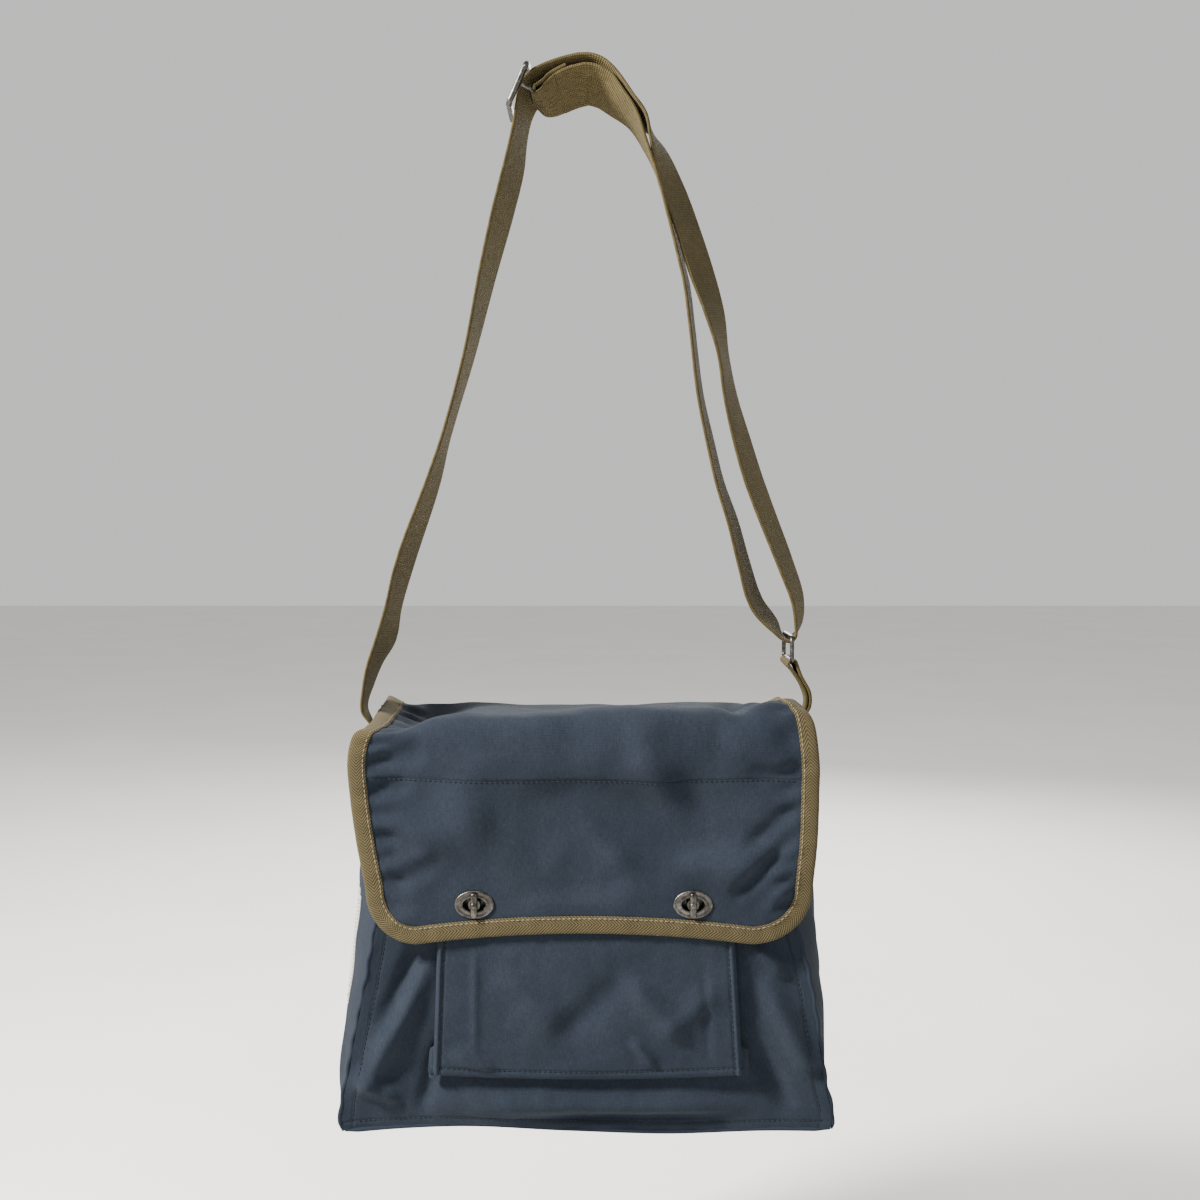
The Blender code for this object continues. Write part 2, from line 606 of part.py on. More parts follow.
def make_slider():
    along, out = slider_vectors()
    centre = Vector((SLIDER_CENTRE[0], 0.0, SLIDER_CENTRE[1]))
    side = Vector((0.0, 1.0, 0.0))
    corners = ((1, 1, 0), (-1, 1, 90), (-1, -1, 180), (1, -1, 270))
    reach_y, reach_along = RING_HALF_Y - SLIDER_CORNER, SLIDER_HALF_LENGTH - SLIDER_CORNER
    centres = []
    for corner_y, corner_along, start in corners:
        middle = centre + out * SLIDER_LIFT + side * corner_y * reach_y + along * corner_along * reach_along
        for turn in spaced(math.radians(start), math.radians(start + 90), 5):
            centres.append(middle + SLIDER_CORNER * (side * math.cos(turn) + along * math.sin(turn)))
    frames = []
    for index in range(len(centres)):
        tangent = (centres[(index + 1) % len(centres)] - centres[index - 1]).normalized()
        frames.append((out, tangent.cross(out)))
    metal("slider_frame", "slider", tube_loops(centres, frames, SLIDER_WIRE), closed=True)
    drop = centre - out * SLIDER_BAR_DROP
    top = centre + out * SLIDER_STAPLE_TOP
    edge, inner = side * RING_HALF_Y, side * (RING_HALF_Y - SLIDER_CORNER)
    rise = out * SLIDER_CORNER
    path = [top - edge, drop - edge + rise, drop - inner, drop + inner, drop + edge + rise, top + edge]
    frames = []
    for index in range(len(path)):
        tangent = (path[min(index + 1, len(path) - 1)] - path[max(index - 1, 0)]).normalized()
        frames.append((along, tangent.cross(along)))
    metal("slider_bar", "slider", tube_loops(path, frames, SLIDER_WIRE))
    make_end_loop(Vector((drop.x, drop.z)))


def make_end_loop(bar):
    """The webbing's sewn end: round the slider's middle bar and doubled back along itself."""
    heading = (Vector(END_LOOP_TARGET) - bar).normalized()
    normal = Vector((-heading.y, heading.x))
    radius = SLIDER_WIRE + GAP + WEBBING / 2
    closing = WEBBING / 2 + GAP / 2
    turns = spaced(END_LOOP_START, END_LOOP_END, 13)
    arc = [bar + radius * (heading * math.cos(turn) + normal * math.sin(turn)) for turn in turns]
    tip = bar + heading * END_LOOP_LENGTH
    throat = bar + heading * END_LOOP_THROAT
    route = [tip + normal * closing, throat + normal * closing] + arc
    route += [throat - normal * closing, tip - normal * closing]
    ribbon("strap_end_loop", "slider", route)


def main():
    clear_scene()
    make_axes()
    make_bag()
    make_side_patches()
    make_pocket()
    make_flap_top()
    make_flap_front()
    for word, side in SIDES.items():
        make_turn_lock(word, side)
    make_strap()
    make_tab()
    make_ring()
    make_slider()


main()
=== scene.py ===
"""Canvas mail bag hanging from its shoulder strap: the looks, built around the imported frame.

Metres, +Z up, X to the bag's right, +Y to the wall behind it.  The origin is under the strap at the hook.
"""
import math

import bmesh
import bpy
import numpy as np
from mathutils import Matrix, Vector, noise


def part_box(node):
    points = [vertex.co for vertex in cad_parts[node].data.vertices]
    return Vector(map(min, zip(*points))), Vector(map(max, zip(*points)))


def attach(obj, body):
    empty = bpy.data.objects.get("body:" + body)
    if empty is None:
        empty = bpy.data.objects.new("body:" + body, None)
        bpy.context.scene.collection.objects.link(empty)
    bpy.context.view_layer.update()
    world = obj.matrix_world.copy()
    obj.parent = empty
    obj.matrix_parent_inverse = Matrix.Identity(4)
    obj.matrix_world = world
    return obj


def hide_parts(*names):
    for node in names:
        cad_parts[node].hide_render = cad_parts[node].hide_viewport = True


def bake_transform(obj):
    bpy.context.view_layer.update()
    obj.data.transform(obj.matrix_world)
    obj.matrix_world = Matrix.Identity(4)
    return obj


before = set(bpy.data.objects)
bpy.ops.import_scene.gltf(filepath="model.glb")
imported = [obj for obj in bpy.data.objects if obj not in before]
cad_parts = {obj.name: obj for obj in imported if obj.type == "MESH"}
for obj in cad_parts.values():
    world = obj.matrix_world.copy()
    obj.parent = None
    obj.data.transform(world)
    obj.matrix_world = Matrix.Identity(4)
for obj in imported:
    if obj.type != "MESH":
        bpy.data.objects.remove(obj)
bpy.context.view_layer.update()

# ---- places taken from the frame
FRONT_LOW, FRONT_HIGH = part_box("front_panel")
POCKET_LOW, POCKET_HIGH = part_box("pocket_front")
TOP_LOW, TOP_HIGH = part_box("flap_top_panel")
LABEL_LOW, LABEL_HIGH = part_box("side_label")
RING_LOW, RING_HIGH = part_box("ring")
FRONT_Y = FRONT_LOW.y
BACK_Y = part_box("back_panel")[1].y
MOUTH_Z = FRONT_HIGH.z
BOTTOM_Z = FRONT_LOW.z
MOUTH_DROP = 0.01
BAG_X = (POCKET_LOW.x + POCKET_HIGH.x) / 2
LIFT_Y = TOP_HIGH.y
FOLD_Z = (TOP_LOW.z + TOP_HIGH.z) / 2
FOLD_Y = -0.063
FLAP_TILT = math.radians(2.7)

SIDES = (("left", -1), ("right", 1))

# ---- cloth
CANVAS = 0.0013
WEBBING = 0.0026
WEBBING_WIDTH = 0.038
STITCH_PITCH = 0.0036
SEAM_INSET = 0.008

# ---- bag outline: seam x at each height, left and right, and the front's lower edge
SEAM_LEFT = (
    (-0.77, -0.1748), (-0.7657, -0.1755), (-0.7134, -0.169), (-0.6637, -0.159), (-0.61, -0.1492),
    (-0.56, -0.143), (-0.52, -0.1412), (-0.47, -0.141))
SEAM_RIGHT = (
    (-0.77, 0.1735), (-0.762, 0.1748), (-0.7531, 0.1755), (-0.73, 0.1705), (-0.708, 0.1672),
    (-0.6565, 0.1594), (-0.6136, 0.149), (-0.56, 0.1395), (-0.52, 0.1375), (-0.47, 0.137))
LOWER_EDGE = (
    (-0.176, -0.764), (-0.1356, -0.7605), (-0.0925, -0.7587), (-0.0142, -0.762), (0.0584, -0.7642),
    (0.1309, -0.762), (0.176, -0.7625))
BACK_HALF_BOTTOM = 0.1745
BACK_HALF_TOP = 0.159
GUSSET_BULGE = 0.0095
LEFT_SWELL = (
    (-0.765, 0.002), (-0.742, 0.0058), (-0.7, 0.0025), (-0.65, 0.0), (-0.47, 0.0))

# ---- flap
FLAP_REAR_S = -0.106
CORNER_RADIUS = 0.038
CORNER_X = 0.118
CORNER_DROP = 0.117
LEFT_HALVES = (
    (-0.106, 0.153), (-0.055, 0.1532), (-0.022, 0.1545), (-0.004, 0.1585), (0.01, 0.1628), (0.024, 0.165),
    (0.05, 0.1638), (0.083, 0.1595), (0.117, 0.153))
RIGHT_HALVES = (
    (-0.106, 0.151), (-0.055, 0.1518), (-0.022, 0.1542), (-0.004, 0.1592), (0.01, 0.1628), (0.024, 0.1648),
    (0.05, 0.165), (0.083, 0.164), (0.117, 0.1605))
FLAP_CENTRE_DROP = 0.1475
FLAP_BOW = 0.544
FLAP_STITCH_S = 0.039
TAPE_WIDTH = 0.012
TWILL_PITCH = 0.0023
TAPE_STITCH_DEPTH = 0.0103
CREST = (
    (-0.168, -0.475), (-0.138, -0.4755), (-0.126, -0.4748), (-0.11, -0.4684), (-0.091, -0.4655),
    (-0.062, -0.4634), (-0.014, -0.4612), (0.0575, -0.459), (0.0957, -0.4598), (0.109, -0.4632),
    (0.122, -0.4577), (0.15, -0.46), (0.168, -0.467))

# ---- turn locks
LOCKS = {word: sum(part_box("turnlock_knob_" + word), Vector()) / 2 for word in ("left", "right")}
LOCK_HOLE = (0.0112, 0.0076)
LOCK_FLAT = 0.024
KNOB_BACK_Y = -0.0716
KNOB_HALF = (0.0027, 0.0092)

# ---- ring and slider: the middle bar's place, and the wires' radii
MIDDLE_BAR = (-0.0383, -0.0178)
RING_WIRE, FRAME_WIRE, BAR_WIRE = 0.0016, 0.0022, 0.0014

# ---- strap route: (x, z, twist in degrees); the front edge turns to the left of the way it runs
STRAP_ROUTE = (
    (-0.1671, -0.4675, -5), (-0.1641, -0.45, 2), (-0.1589, -0.433, 8), (-0.1509, -0.4155, 15),
    (-0.145, -0.3915, 10), (-0.1362, -0.359, 13), (-0.1143, -0.297, 8), (-0.1052, -0.266, 2),
    (-0.0872, -0.204, 5), (-0.0727, -0.1425, 13), (-0.0609, -0.097, 18), (-0.0531, -0.0667, 17),
    (-0.0486, -0.0408, 12), (-0.0455, -0.0262, 15), (-0.0418, -0.0165, 22), (-0.035, -0.0112, 28),
    (-0.0262, -0.0078, 32), (-0.0126, -0.004, 35), (-0.001, -0.0022, 36), (0.006, -0.0036, 34),
    (0.0115, -0.0066, 30), (0.018, -0.0116, 24), (0.0308, -0.023, 10), (0.0417, -0.0345, 2),
    (0.0508, -0.051, -17), (0.062, -0.0818, -33), (0.0736, -0.112, -33), (0.0836, -0.1425, -34),
    (0.0935, -0.173, -28), (0.1003, -0.204, -17), (0.106, -0.235, -20), (0.1143, -0.266, -25),
    (0.1238, -0.297, -27), (0.1356, -0.328, -26), (0.1478, -0.359, -24), (0.1572, -0.387, -20),
    (0.1575, -0.404, -14), (0.1548, -0.4122, -6), (0.15, -0.415, 0), (0.1452, -0.4122, 6),
    (0.14, -0.405, 14), (0.1262, -0.388, 20), (0.1168, -0.359, 18), (0.1084, -0.328, 16),
    (0.098, -0.297, 13), (0.0906, -0.266, 12), (0.0838, -0.235, 10), (0.0795, -0.204, 9),
    (0.0762, -0.173, 9), (0.0712, -0.1425, 10), (0.0632, -0.112, 10), (0.0546, -0.0818, 8),
    (0.0432, -0.053, 2), (0.033, -0.033, -8), (0.0205, -0.0205, -20), (0.011, -0.0122, -29),
    (0.0, -0.0088, -33), (-0.0126, -0.0122, -33), (-0.0205, -0.016, -31))
FOOT_BOTTOM_Z = -0.52
FOOT_TWIST = 11
FOOT_SLOPE = math.tan(math.radians(FOOT_TWIST))


# ---- numbers and shapes


def unit(vectors):
    return vectors / np.maximum(np.linalg.norm(vectors, axis=-1, keepdims=True), 1e-12)


def places(*columns):
    """Coordinates side by side, one row for each place; a single number holds for every row."""
    return np.stack(np.broadcast_arrays(*columns), axis=-1)


def grid(across, up):
    """Every pairing of the places across with the places up, as two arrays."""
    return np.meshgrid(across, up, indexing="ij")


def smooth_step(value):
    value = np.clip(value, 0.0, 1.0)
    return value * value * (3 - 2 * value)


def hermite(where, knots, values):
    """Smooth curve through values at rising knots; values may have one column for each place asked for."""
    knots = np.asarray(knots, float)
    values = np.asarray(values, float)
    slopes = np.gradient(values, knots, axis=0)
    left = np.clip(np.searchsorted(knots, where) - 1, 0, len(knots) - 2)
    width = knots[left + 1] - knots[left]
    t = np.clip((where - knots[left]) / width, 0.0, 1.0)
    column = np.arange(values.shape[1]) if values.ndim == 2 else None

    def pick(table, index):
        return table[index] if column is None else table[index, column]

    low, high = pick(values, left), pick(values, left + 1)
    rise, fall = pick(slopes, left) * width, pick(slopes, left + 1) * width
    return ((2 * t ** 3 - 3 * t ** 2 + 1) * low + (t ** 3 - 2 * t ** 2 + t) * rise
            + (3 * t ** 2 - 2 * t ** 3) * high + (t ** 3 - t ** 2) * fall)


def along_table(where, table):
    knots, values = zip(*table)
    return hermite(np.asarray(where, float), knots, values)


def resample(path, count):
    """The same path with its points at equal steps."""
    lengths = np.r_[0, np.cumsum(np.linalg.norm(np.diff(path[:, :3], axis=0), axis=1))]
    wanted = np.linspace(0, lengths[-1], count)
    return np.stack([np.interp(wanted, lengths, column) for column in path.T], axis=1)


def smooth_path(points, count):
    """Smooth curve through the points, with its samples at equal steps."""
    points = np.asarray(points, float)
    steps = np.r_[0, np.cumsum(np.linalg.norm(np.diff(points[:, :2], axis=0), axis=1) ** 0.7 + 1e-6)]
    wanted = np.linspace(0, steps[-1], count * 4)
    dense = np.stack([hermite(wanted, steps, column) for column in points.T], axis=1)
    return resample(dense, count)


def lines(low, high, count, fine=(), reach=0.0028, step=0.0007):
    """Grid lines from low to high, closer together round each fine place."""
    marks = list(np.linspace(low, high, count))
    for centre in fine:
        near = np.arange(centre - reach, centre + reach, step)
        marks = [mark for mark in marks if abs(mark - centre) > reach] + list(near)
    return np.array(sorted([mark for mark in marks if low < mark < high] + [low, high]))


def cloud(x, z, size, seed):
    """Soft noise from about -1 to 1 with lumps of that size."""
    x, z = np.broadcast_arrays(x, z)
    flat = zip(np.ravel(x) / size, np.ravel(z) / size)
    values = [noise.noise(Vector((across, up, seed))) for across, up in flat]
    return np.reshape(values, np.shape(x))


def folds(x, z, creases):
    """Height of soft ridges, from rows of start x and z, end x and z, height and width."""
    total = np.zeros(np.shape(x))
    for x0, z0, x1, z1, height, width in creases:
        run, rise = x1 - x0, z1 - z0
        length = math.hypot(run, rise)
        along = ((x - x0) * run + (z - z0) * rise) / length ** 2
        across = ((x - x0) * rise - (z - z0) * run) / length
        ends = smooth_step(along / 0.35) * smooth_step((1 - along) / 0.35)
        total += height * np.exp(-(across / width) ** 2) * ends
    return total


def groove(distance, depth=0.0005, width=0.0011):
    return -depth * np.exp(-(distance / width) ** 2)


def grid_normals(points):
    across, up = np.gradient(points, axis=0), np.gradient(points, axis=1)
    return unit(np.cross(across, up))


# ---- meshes


def make_piece(name, points, faces, material, uv=None, sharp=50):
    """A smooth mesh object with outward faces, its cloth coordinates in metres."""
    mesh = bpy.data.meshes.new(name)
    mesh.from_pydata(np.asarray(points, float).tolist(), [], faces)
    mesh.validate()
    if uv is not None:
        layer = mesh.uv_layers.new(name="cloth")
        corners = np.zeros(len(mesh.loops), np.int64)
        mesh.loops.foreach_get("vertex_index", corners)
        layer.data.foreach_set("uv", np.asarray(uv, float)[corners].ravel())
    shape = bmesh.new()
    shape.from_mesh(mesh)
    bmesh.ops.recalc_face_normals(shape, faces=shape.faces)
    shape.to_mesh(mesh)
    shape.free()
    mesh.polygons.foreach_set("use_smooth", [True] * len(mesh.polygons))
    mesh.set_sharp_from_angle(angle=math.radians(sharp))
    mesh.materials.append(material)
    piece = bpy.data.objects.new(name, mesh)
    bpy.context.scene.collection.objects.link(piece)
    return piece


def cloth(name, points, uv, thickness, material, keep=None):
    """A sheet from a grid of points on its outer face, with a back face and a rim round every edge."""
    rows, columns = points.shape[:2]
    back = points - grid_normals(points) * thickness
    index = np.arange(rows * columns).reshape(rows, columns)
    quads = np.stack((index[:-1, :-1], index[1:, :-1], index[1:, 1:], index[:-1, 1:]), -1).reshape(-1, 4)
    if keep is not None:
        quads = quads[keep.ravel()]
    edges = np.concatenate([quads[:, [k, (k + 1) % 4]] for k in range(4)])
    paired = set(map(tuple, edges.tolist()))
    rim = [(b, a, a + index.size, b + index.size) for a, b in edges.tolist() if (b, a) not in paired]
    faces = quads.tolist() + (quads[:, ::-1] + index.size).tolist() + rim
    both = np.concatenate((points.reshape(-1, 3), back.reshape(-1, 3)))
    return make_piece(name, both, faces, material, np.tile(uv.reshape(-1, 2), (2, 1)))


def loft(name, sections, material, uv=None, closed=False, sharp=50):
    """A solid through rows of equal sections, capped at both ends unless it closes on itself."""
    rows, columns = sections.shape[:2]
    faces = []
    for row in range(rows if closed else rows - 1):
        near, far = row * columns, (row + 1) % rows * columns
        for column in range(columns):
            after = (column + 1) % columns
            faces.append((near + column, near + after, far + after, far + column))
    if not closed:
        faces.append(tuple(range(columns)))
        faces.append(tuple(range((rows - 1) * columns, rows * columns)))
    flat = None if uv is None else uv.reshape(-1, 2)
    return make_piece(name, sections.reshape(-1, 3), faces, material, flat, sharp)


def tube(name, path, radius, material, closed=False, sides=14):
    """A round wire or seam along a path; radius may change along it."""
    path = np.asarray(path, float)
    ahead = np.roll(path, -1, axis=0) - np.roll(path, 1, axis=0)
    if not closed:
        ahead[0], ahead[-1] = path[1] - path[0], path[-1] - path[-2]
    ahead = unit(ahead)
    side = unit(np.cross(ahead, (0.31, 0.17, 0.93)))
    up = np.cross(side, ahead)
    turns = np.linspace(0, 2 * math.pi, sides, endpoint=False)
    size = np.broadcast_to(radius, len(path))[:, None, None]
    ring = side[:, None] * np.cos(turns)[:, None] + up[:, None] * np.sin(turns)[:, None]
    return loft(name, path[:, None] + ring * size, material, closed=closed)


def stitches(name, path, outward, material, pitch=STITCH_PITCH, length=0.0027, radius=0.0004):
    """A row of short threads lying on a surface along a path; outward may be one direction for them all."""
    total = np.linalg.norm(np.diff(path, axis=0), axis=1).sum()
    count = max(int(total / pitch), 2)
    both = resample(np.hstack((path, np.broadcast_to(outward, path.shape))), count * 2 + 1)
    centre, normal = both[1::2, :3], unit(both[1::2, 3:])
    heading = unit(both[2::2, :3] - both[:-2:2, :3])
    side = np.cross(heading, normal)
    stations = np.array((-1.0, -0.72, 0.0, 0.72, 1.0))
    sizes = np.array((0.3, 0.85, 1.0, 0.85, 0.3)) * radius
    turns = np.linspace(0, 2 * math.pi, 6, endpoint=False)
    lift = (1 - stations ** 2) * radius * 0.7
    spine = (centre[:, None] + heading[:, None] * (stations * length / 2)[:, None]
             + normal[:, None] * lift[:, None])
    ring = (side[:, None, None] * (np.cos(turns) * sizes[:, None])[..., None]
            + normal[:, None, None] * (np.sin(turns) * sizes[:, None] * 0.8)[..., None])
    points = spine[:, :, None] + ring
    faces = []
    for first in range(0, count * 30, 30):
        for row in range(4):
            near = first + row * 6
            faces += [(near + k, near + (k + 1) % 6, near + 6 + (k + 1) % 6, near + 6 + k) for k in range(6)]
        faces.append(tuple(range(first, first + 6)))
        faces.append(tuple(range(first + 24, first + 30)))
    return make_piece(name, points.reshape(-1, 3), faces, material)


def dress(piece, body, slot, *nodes):
    """Ride a body and stand for CAD nodes; the record slot argument is not used."""
    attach(piece, body)
    if nodes:
        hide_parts(*nodes)
    return piece


def bag_cloth(name, node, points, uv, thickness=CANVAS):
    """A canvas sheet of the bag that stands for one node."""
    return dress(cloth(name, points, uv, thickness, CANVAS_CLOTH), "bag", "canvas", node)


def bag_seam(name, path, radius, ends=0.12):
    """A turned seam of the bag, thinner over that share of its length at both ends."""
    dress(tube(name, path, taper(len(path), radius, ends), CANVAS_CLOTH), "bag", "canvas")


# ---- materials
class Shade:
    """One material's nodes, added in order and linked by socket name."""

    def __init__(self, name):
        self.material = bpy.data.materials.new(name)
        self.material.use_nodes = True
        self.tree = self.material.node_tree
        self.shader = self.tree.nodes["Principled BSDF"]

    def add(self, kind, links=None, values=None, **settings):
        made = self.tree.nodes.new("ShaderNode" + kind)
        for key, value in settings.items():
            setattr(made, key, value)
        for socket, value in (values or {}).items():
            made.inputs[socket].default_value = value
        for socket, output in (links or {}).items():
            self.tree.links.new(output, made.inputs[socket])
        return made

    def cloth_place(self, scale):
        place = self.add("UVMap", uv_map="cloth")
        return self.add("Mapping", {0: place.outputs[0]}, {3: scale}).outputs[0]

    def object_place(self, scale):
        place = self.add("TexCoord")
        return self.add("Mapping", {0: place.outputs["Object"]}, {3: scale}).outputs[0]

    def noise(self, place, detail=2.0, rough=0.5):
        values = {"Scale": 1.0, "Detail": detail, "Roughness": rough}
        return self.add("TexNoise", {"Vector": place}, values).outputs[0]

    def wave(self, place, direction, distortion=0.0):
        values = {"Scale": 1.0, "Distortion": distortion, "Detail": 1.0}
        made = self.add("TexWave", {"Vector": place}, values, bands_direction=direction)
        return made.outputs[1]

    def maths(self, operation, *inputs):
        made = self.add("Math", operation=operation)
        for socket, value in enumerate(inputs):
            if isinstance(value, (int, float)):
                made.inputs[socket].default_value = value
            else:
                self.tree.links.new(value, made.inputs[socket])
        return made.outputs[0]

    def weighted(self, *parts):
        """The sum of some outputs, each times its weight."""
        terms = [self.maths("MULTIPLY", output, weight) for output, weight in parts]
        total = terms[0]
        for term in terms[1:]:
            total = self.maths("ADD", total, term)
        return total

    def ramp(self, factor, stops):
        made = self.add("ValToRGB", {0: factor})
        while len(made.color_ramp.elements) < len(stops):
            made.color_ramp.elements.new(0.5)
        for element, (place, colour) in zip(made.color_ramp.elements, stops):
            element.position = place
            element.color = (*colour, 1.0)
        return made.outputs[0]

    def mottled(self, colour, size, detail, low, high, darkest):
        """The colour darkened in soft patches, by noise between two levels."""
        patches = self.noise(self.object_place((size, size, size)), detail, 0.6)
        shading = self.ramp(patches, ((low, darkest), (high, (1.0, 1.0, 1.0))))
        made = self.add("Mix", {6: colour, 7: shading}, {0: 1.0}, data_type="RGBA", blend_type="MULTIPLY")
        return made.outputs[2]

    def bump(self, height, strength, distance):
        values = {"Strength": strength, "Distance": distance}
        made = self.add("Bump", {"Height": height}, values)
        self.tree.links.new(made.outputs[0], self.shader.inputs["Normal"])

    def finish(self, colour, roughness, metallic=0.0, sheen=0.0, specular=0.3):
        self.tree.links.new(colour, self.shader.inputs["Base Color"])
        if isinstance(roughness, float):
            self.shader.inputs["Roughness"].default_value = roughness
        else:
            self.tree.links.new(roughness, self.shader.inputs["Roughness"])
        self.shader.inputs["Metallic"].default_value = metallic
        self.shader.inputs["Sheen Weight"].default_value = sheen
        self.shader.inputs["Sheen Roughness"].default_value = 0.5
        self.shader.inputs["Specular IOR Level"].default_value = specular
        return self.material


def canvas_material(name, *shades):
    """Plain-weave cotton canvas: uneven warp yarns, fainter weft, slubs and soft mottling."""
    shade = Shade(name)
    warp = shade.noise(shade.cloth_place((1500, 260, 1)), 3.0, 0.6)
    weft = shade.noise(shade.cloth_place((300, 1400, 1)), 2.0, 0.6)
    slub = shade.noise(shade.cloth_place((900, 150, 1)), 2.0, 0.55)
    streaks = shade.weighted((warp, 0.42), (weft, 0.34), (slub, 0.24))
    body = shade.ramp(streaks, tuple(zip((0.32, 0.5, 0.68), shades)))
    colour = shade.mottled(body, 13, 5.0, 0.32, 0.66, (0.7, 0.73, 0.78))
    threads = shade.maths("ADD", shade.wave(shade.cloth_place((420, 420, 1)), "X"),
                          shade.wave(shade.cloth_place((420, 420, 1)), "Y"))
    shade.bump(shade.maths("ADD", shade.maths("MULTIPLY", threads, 0.35), streaks), 0.55, 0.0005)
    return shade.finish(colour, 0.93, sheen=0.02, specular=0.1)


def webbing_material():
    """Khaki cotton webbing: rows of plump ribs along its length, broken into beads by the weft."""
    shade = Shade("khaki_webbing")
    ribs = shade.wave(shade.cloth_place((200, 200, 1)), "X", 0.6)
    picks = shade.wave(shade.cloth_place((240, 240, 1)), "Y", 0.9)
    yarn = shade.noise(shade.cloth_place((700, 160, 1)), 3.0, 0.6)
    relief = shade.weighted((ribs, 0.6), (picks, 0.45))
    mixed = shade.weighted((relief, 0.35), (yarn, 0.62))
    body = shade.ramp(mixed, ((0.36, (0.05, 0.038, 0.0145)), (0.56, (0.084, 0.065, 0.0265)),
                              (0.76, (0.126, 0.1, 0.045))))
    shade.bump(shade.maths("ADD", relief, shade.maths("MULTIPLY", yarn, 0.5)), 0.8, 0.0006)
    colour = shade.mottled(body, 26, 3.0, 0.3, 0.72, (0.78, 0.79, 0.8))
    return shade.finish(colour, 0.92, sheen=0.02, specular=0.1)


def tape_material():
    """Khaki twill tape: slanting ribs that turn round at the middle of the tape."""
    shade = Shade("khaki_twill_tape")
    parts = shade.add("SeparateXYZ", {0: shade.cloth_place((1, 1, 1))})
    turned = shade.maths("ABSOLUTE", shade.maths("SUBTRACT", parts.outputs[0], TAPE_WIDTH / 2))
    slant = shade.maths("ADD", shade.maths("MULTIPLY", turned, 1.1), parts.outputs[1])
    ribs = shade.maths("SINE", shade.maths("MULTIPLY", slant, 2 * math.pi / TWILL_PITCH))
    ribs = shade.maths("MULTIPLY_ADD", ribs, 0.5, 0.5)
    yarn = shade.noise(shade.cloth_place((900, 500, 1)), 3.0, 0.6)
    mixed = shade.weighted((ribs, 0.6), (yarn, 0.4))
    body = shade.ramp(mixed, ((0.28, (0.035, 0.027, 0.0115)), (0.52, (0.062, 0.049, 0.0235)),
                              (0.76, (0.095, 0.077, 0.04))))
    shade.bump(mixed, 0.7, 0.0006)
    colour = shade.mottled(body, 34, 3.0, 0.3, 0.72, (0.82, 0.83, 0.84))
    return shade.finish(colour, 0.92, sheen=0.02, specular=0.1)


def plain_thread(name, dark, light):
    shade = Shade(name)
    twist = shade.noise(shade.object_place((900, 900, 900)), 2.0)
    return shade.finish(shade.ramp(twist, ((0.3, dark), (0.7, light))), 0.85, specular=0.2)


def metal_material():
    """Antique nickel plate: darker and brighter in soft noise patches, with fine scratches in its gloss."""
    shade = Shade("antique_nickel")
    patina = shade.noise(shade.object_place((260, 260, 260)), 4.0, 0.65)
    scratch = shade.noise(shade.object_place((2200, 300, 900)), 3.0, 0.6)
    colour = shade.ramp(patina, ((0.32, (0.042, 0.038, 0.034)), (0.55, (0.09, 0.085, 0.077)),
                                 (0.75, (0.19, 0.182, 0.165))))
    rough = shade.maths("ADD", shade.weighted((patina, 0.3), (scratch, 0.25)), 0.1)
    shade.bump(scratch, 0.15, 0.0002)
    return shade.finish(colour, rough, metallic=1.0, specular=0.5)


def label_material():
    shade = Shade("label_satin")
    weave = shade.noise(shade.cloth_place((1400, 1400, 1)), 2.0)
    mottle = shade.noise(shade.object_place((60, 60, 60)), 3.0)
    mixed = shade.weighted((weave, 0.5), (mottle, 0.5))
    colour = shade.ramp(mixed, ((0.3, (0.34, 0.33, 0.3)), (0.7, (0.48, 0.47, 0.44))))
    shade.bump(weave, 0.3, 0.0003)
    return shade.finish(colour, 0.75, sheen=0.1, specular=0.3)


CANVAS_CLOTH = canvas_material("slate_canvas", (0.0098, 0.0132, 0.0188), (0.015, 0.02, 0.0284),
                               (0.0216, 0.0286, 0.0396))
LINING_CLOTH = canvas_material("slate_lining", (0.0075, 0.01, 0.014), (0.012, 0.016, 0.022),
                               (0.018, 0.0235, 0.0315))
WEBBING_CLOTH = webbing_material()
TAPE_CLOTH = tape_material()
KHAKI_THREAD = plain_thread("beige_thread", (0.11, 0.09, 0.052), (0.18, 0.15, 0.095))
SLATE_THREAD = plain_thread("slate_thread", (0.006, 0.008, 0.011), (0.012, 0.016, 0.022))
NICKEL = metal_material()
LABEL_CLOTH = label_material()


# ---- bag body
GUSSET_FOLDS = (
    (0.052, -0.765, 0.047, -0.56, -0.0042, 0.011), (0.02, -0.755, 0.06, -0.64, 0.0024, 0.009),
    (0.08, -0.74, 0.04, -0.6, 0.002, 0.008), (0.01, -0.6, 0.06, -0.5, 0.0018, 0.01))
FRONT_RELIEF = 3.0
FRONT_FOLDS = (
    (-0.168, -0.752, -0.108, -0.628, 0.003, 0.0085), (-0.15, -0.7, -0.112, -0.612, -0.0022, 0.007),
    (-0.172, -0.72, -0.128, -0.742, 0.0022, 0.007), (-0.122, -0.756, -0.1, -0.69, -0.0016, 0.006),
    (0.12, -0.64, 0.168, -0.735, 0.0026, 0.009), (0.112, -0.69, 0.15, -0.752, -0.0018, 0.007),
    (0.113, -0.622, 0.146, -0.655, 0.002, 0.006), (-0.13, -0.742, 0.15, -0.744, 0.0022, 0.0075),
    (-0.06, -0.753, 0.12, -0.752, -0.0012, 0.004), (0.158, -0.712, 0.176, -0.726, -0.0009, 0.005))
BACK_RELIEF = 1.6
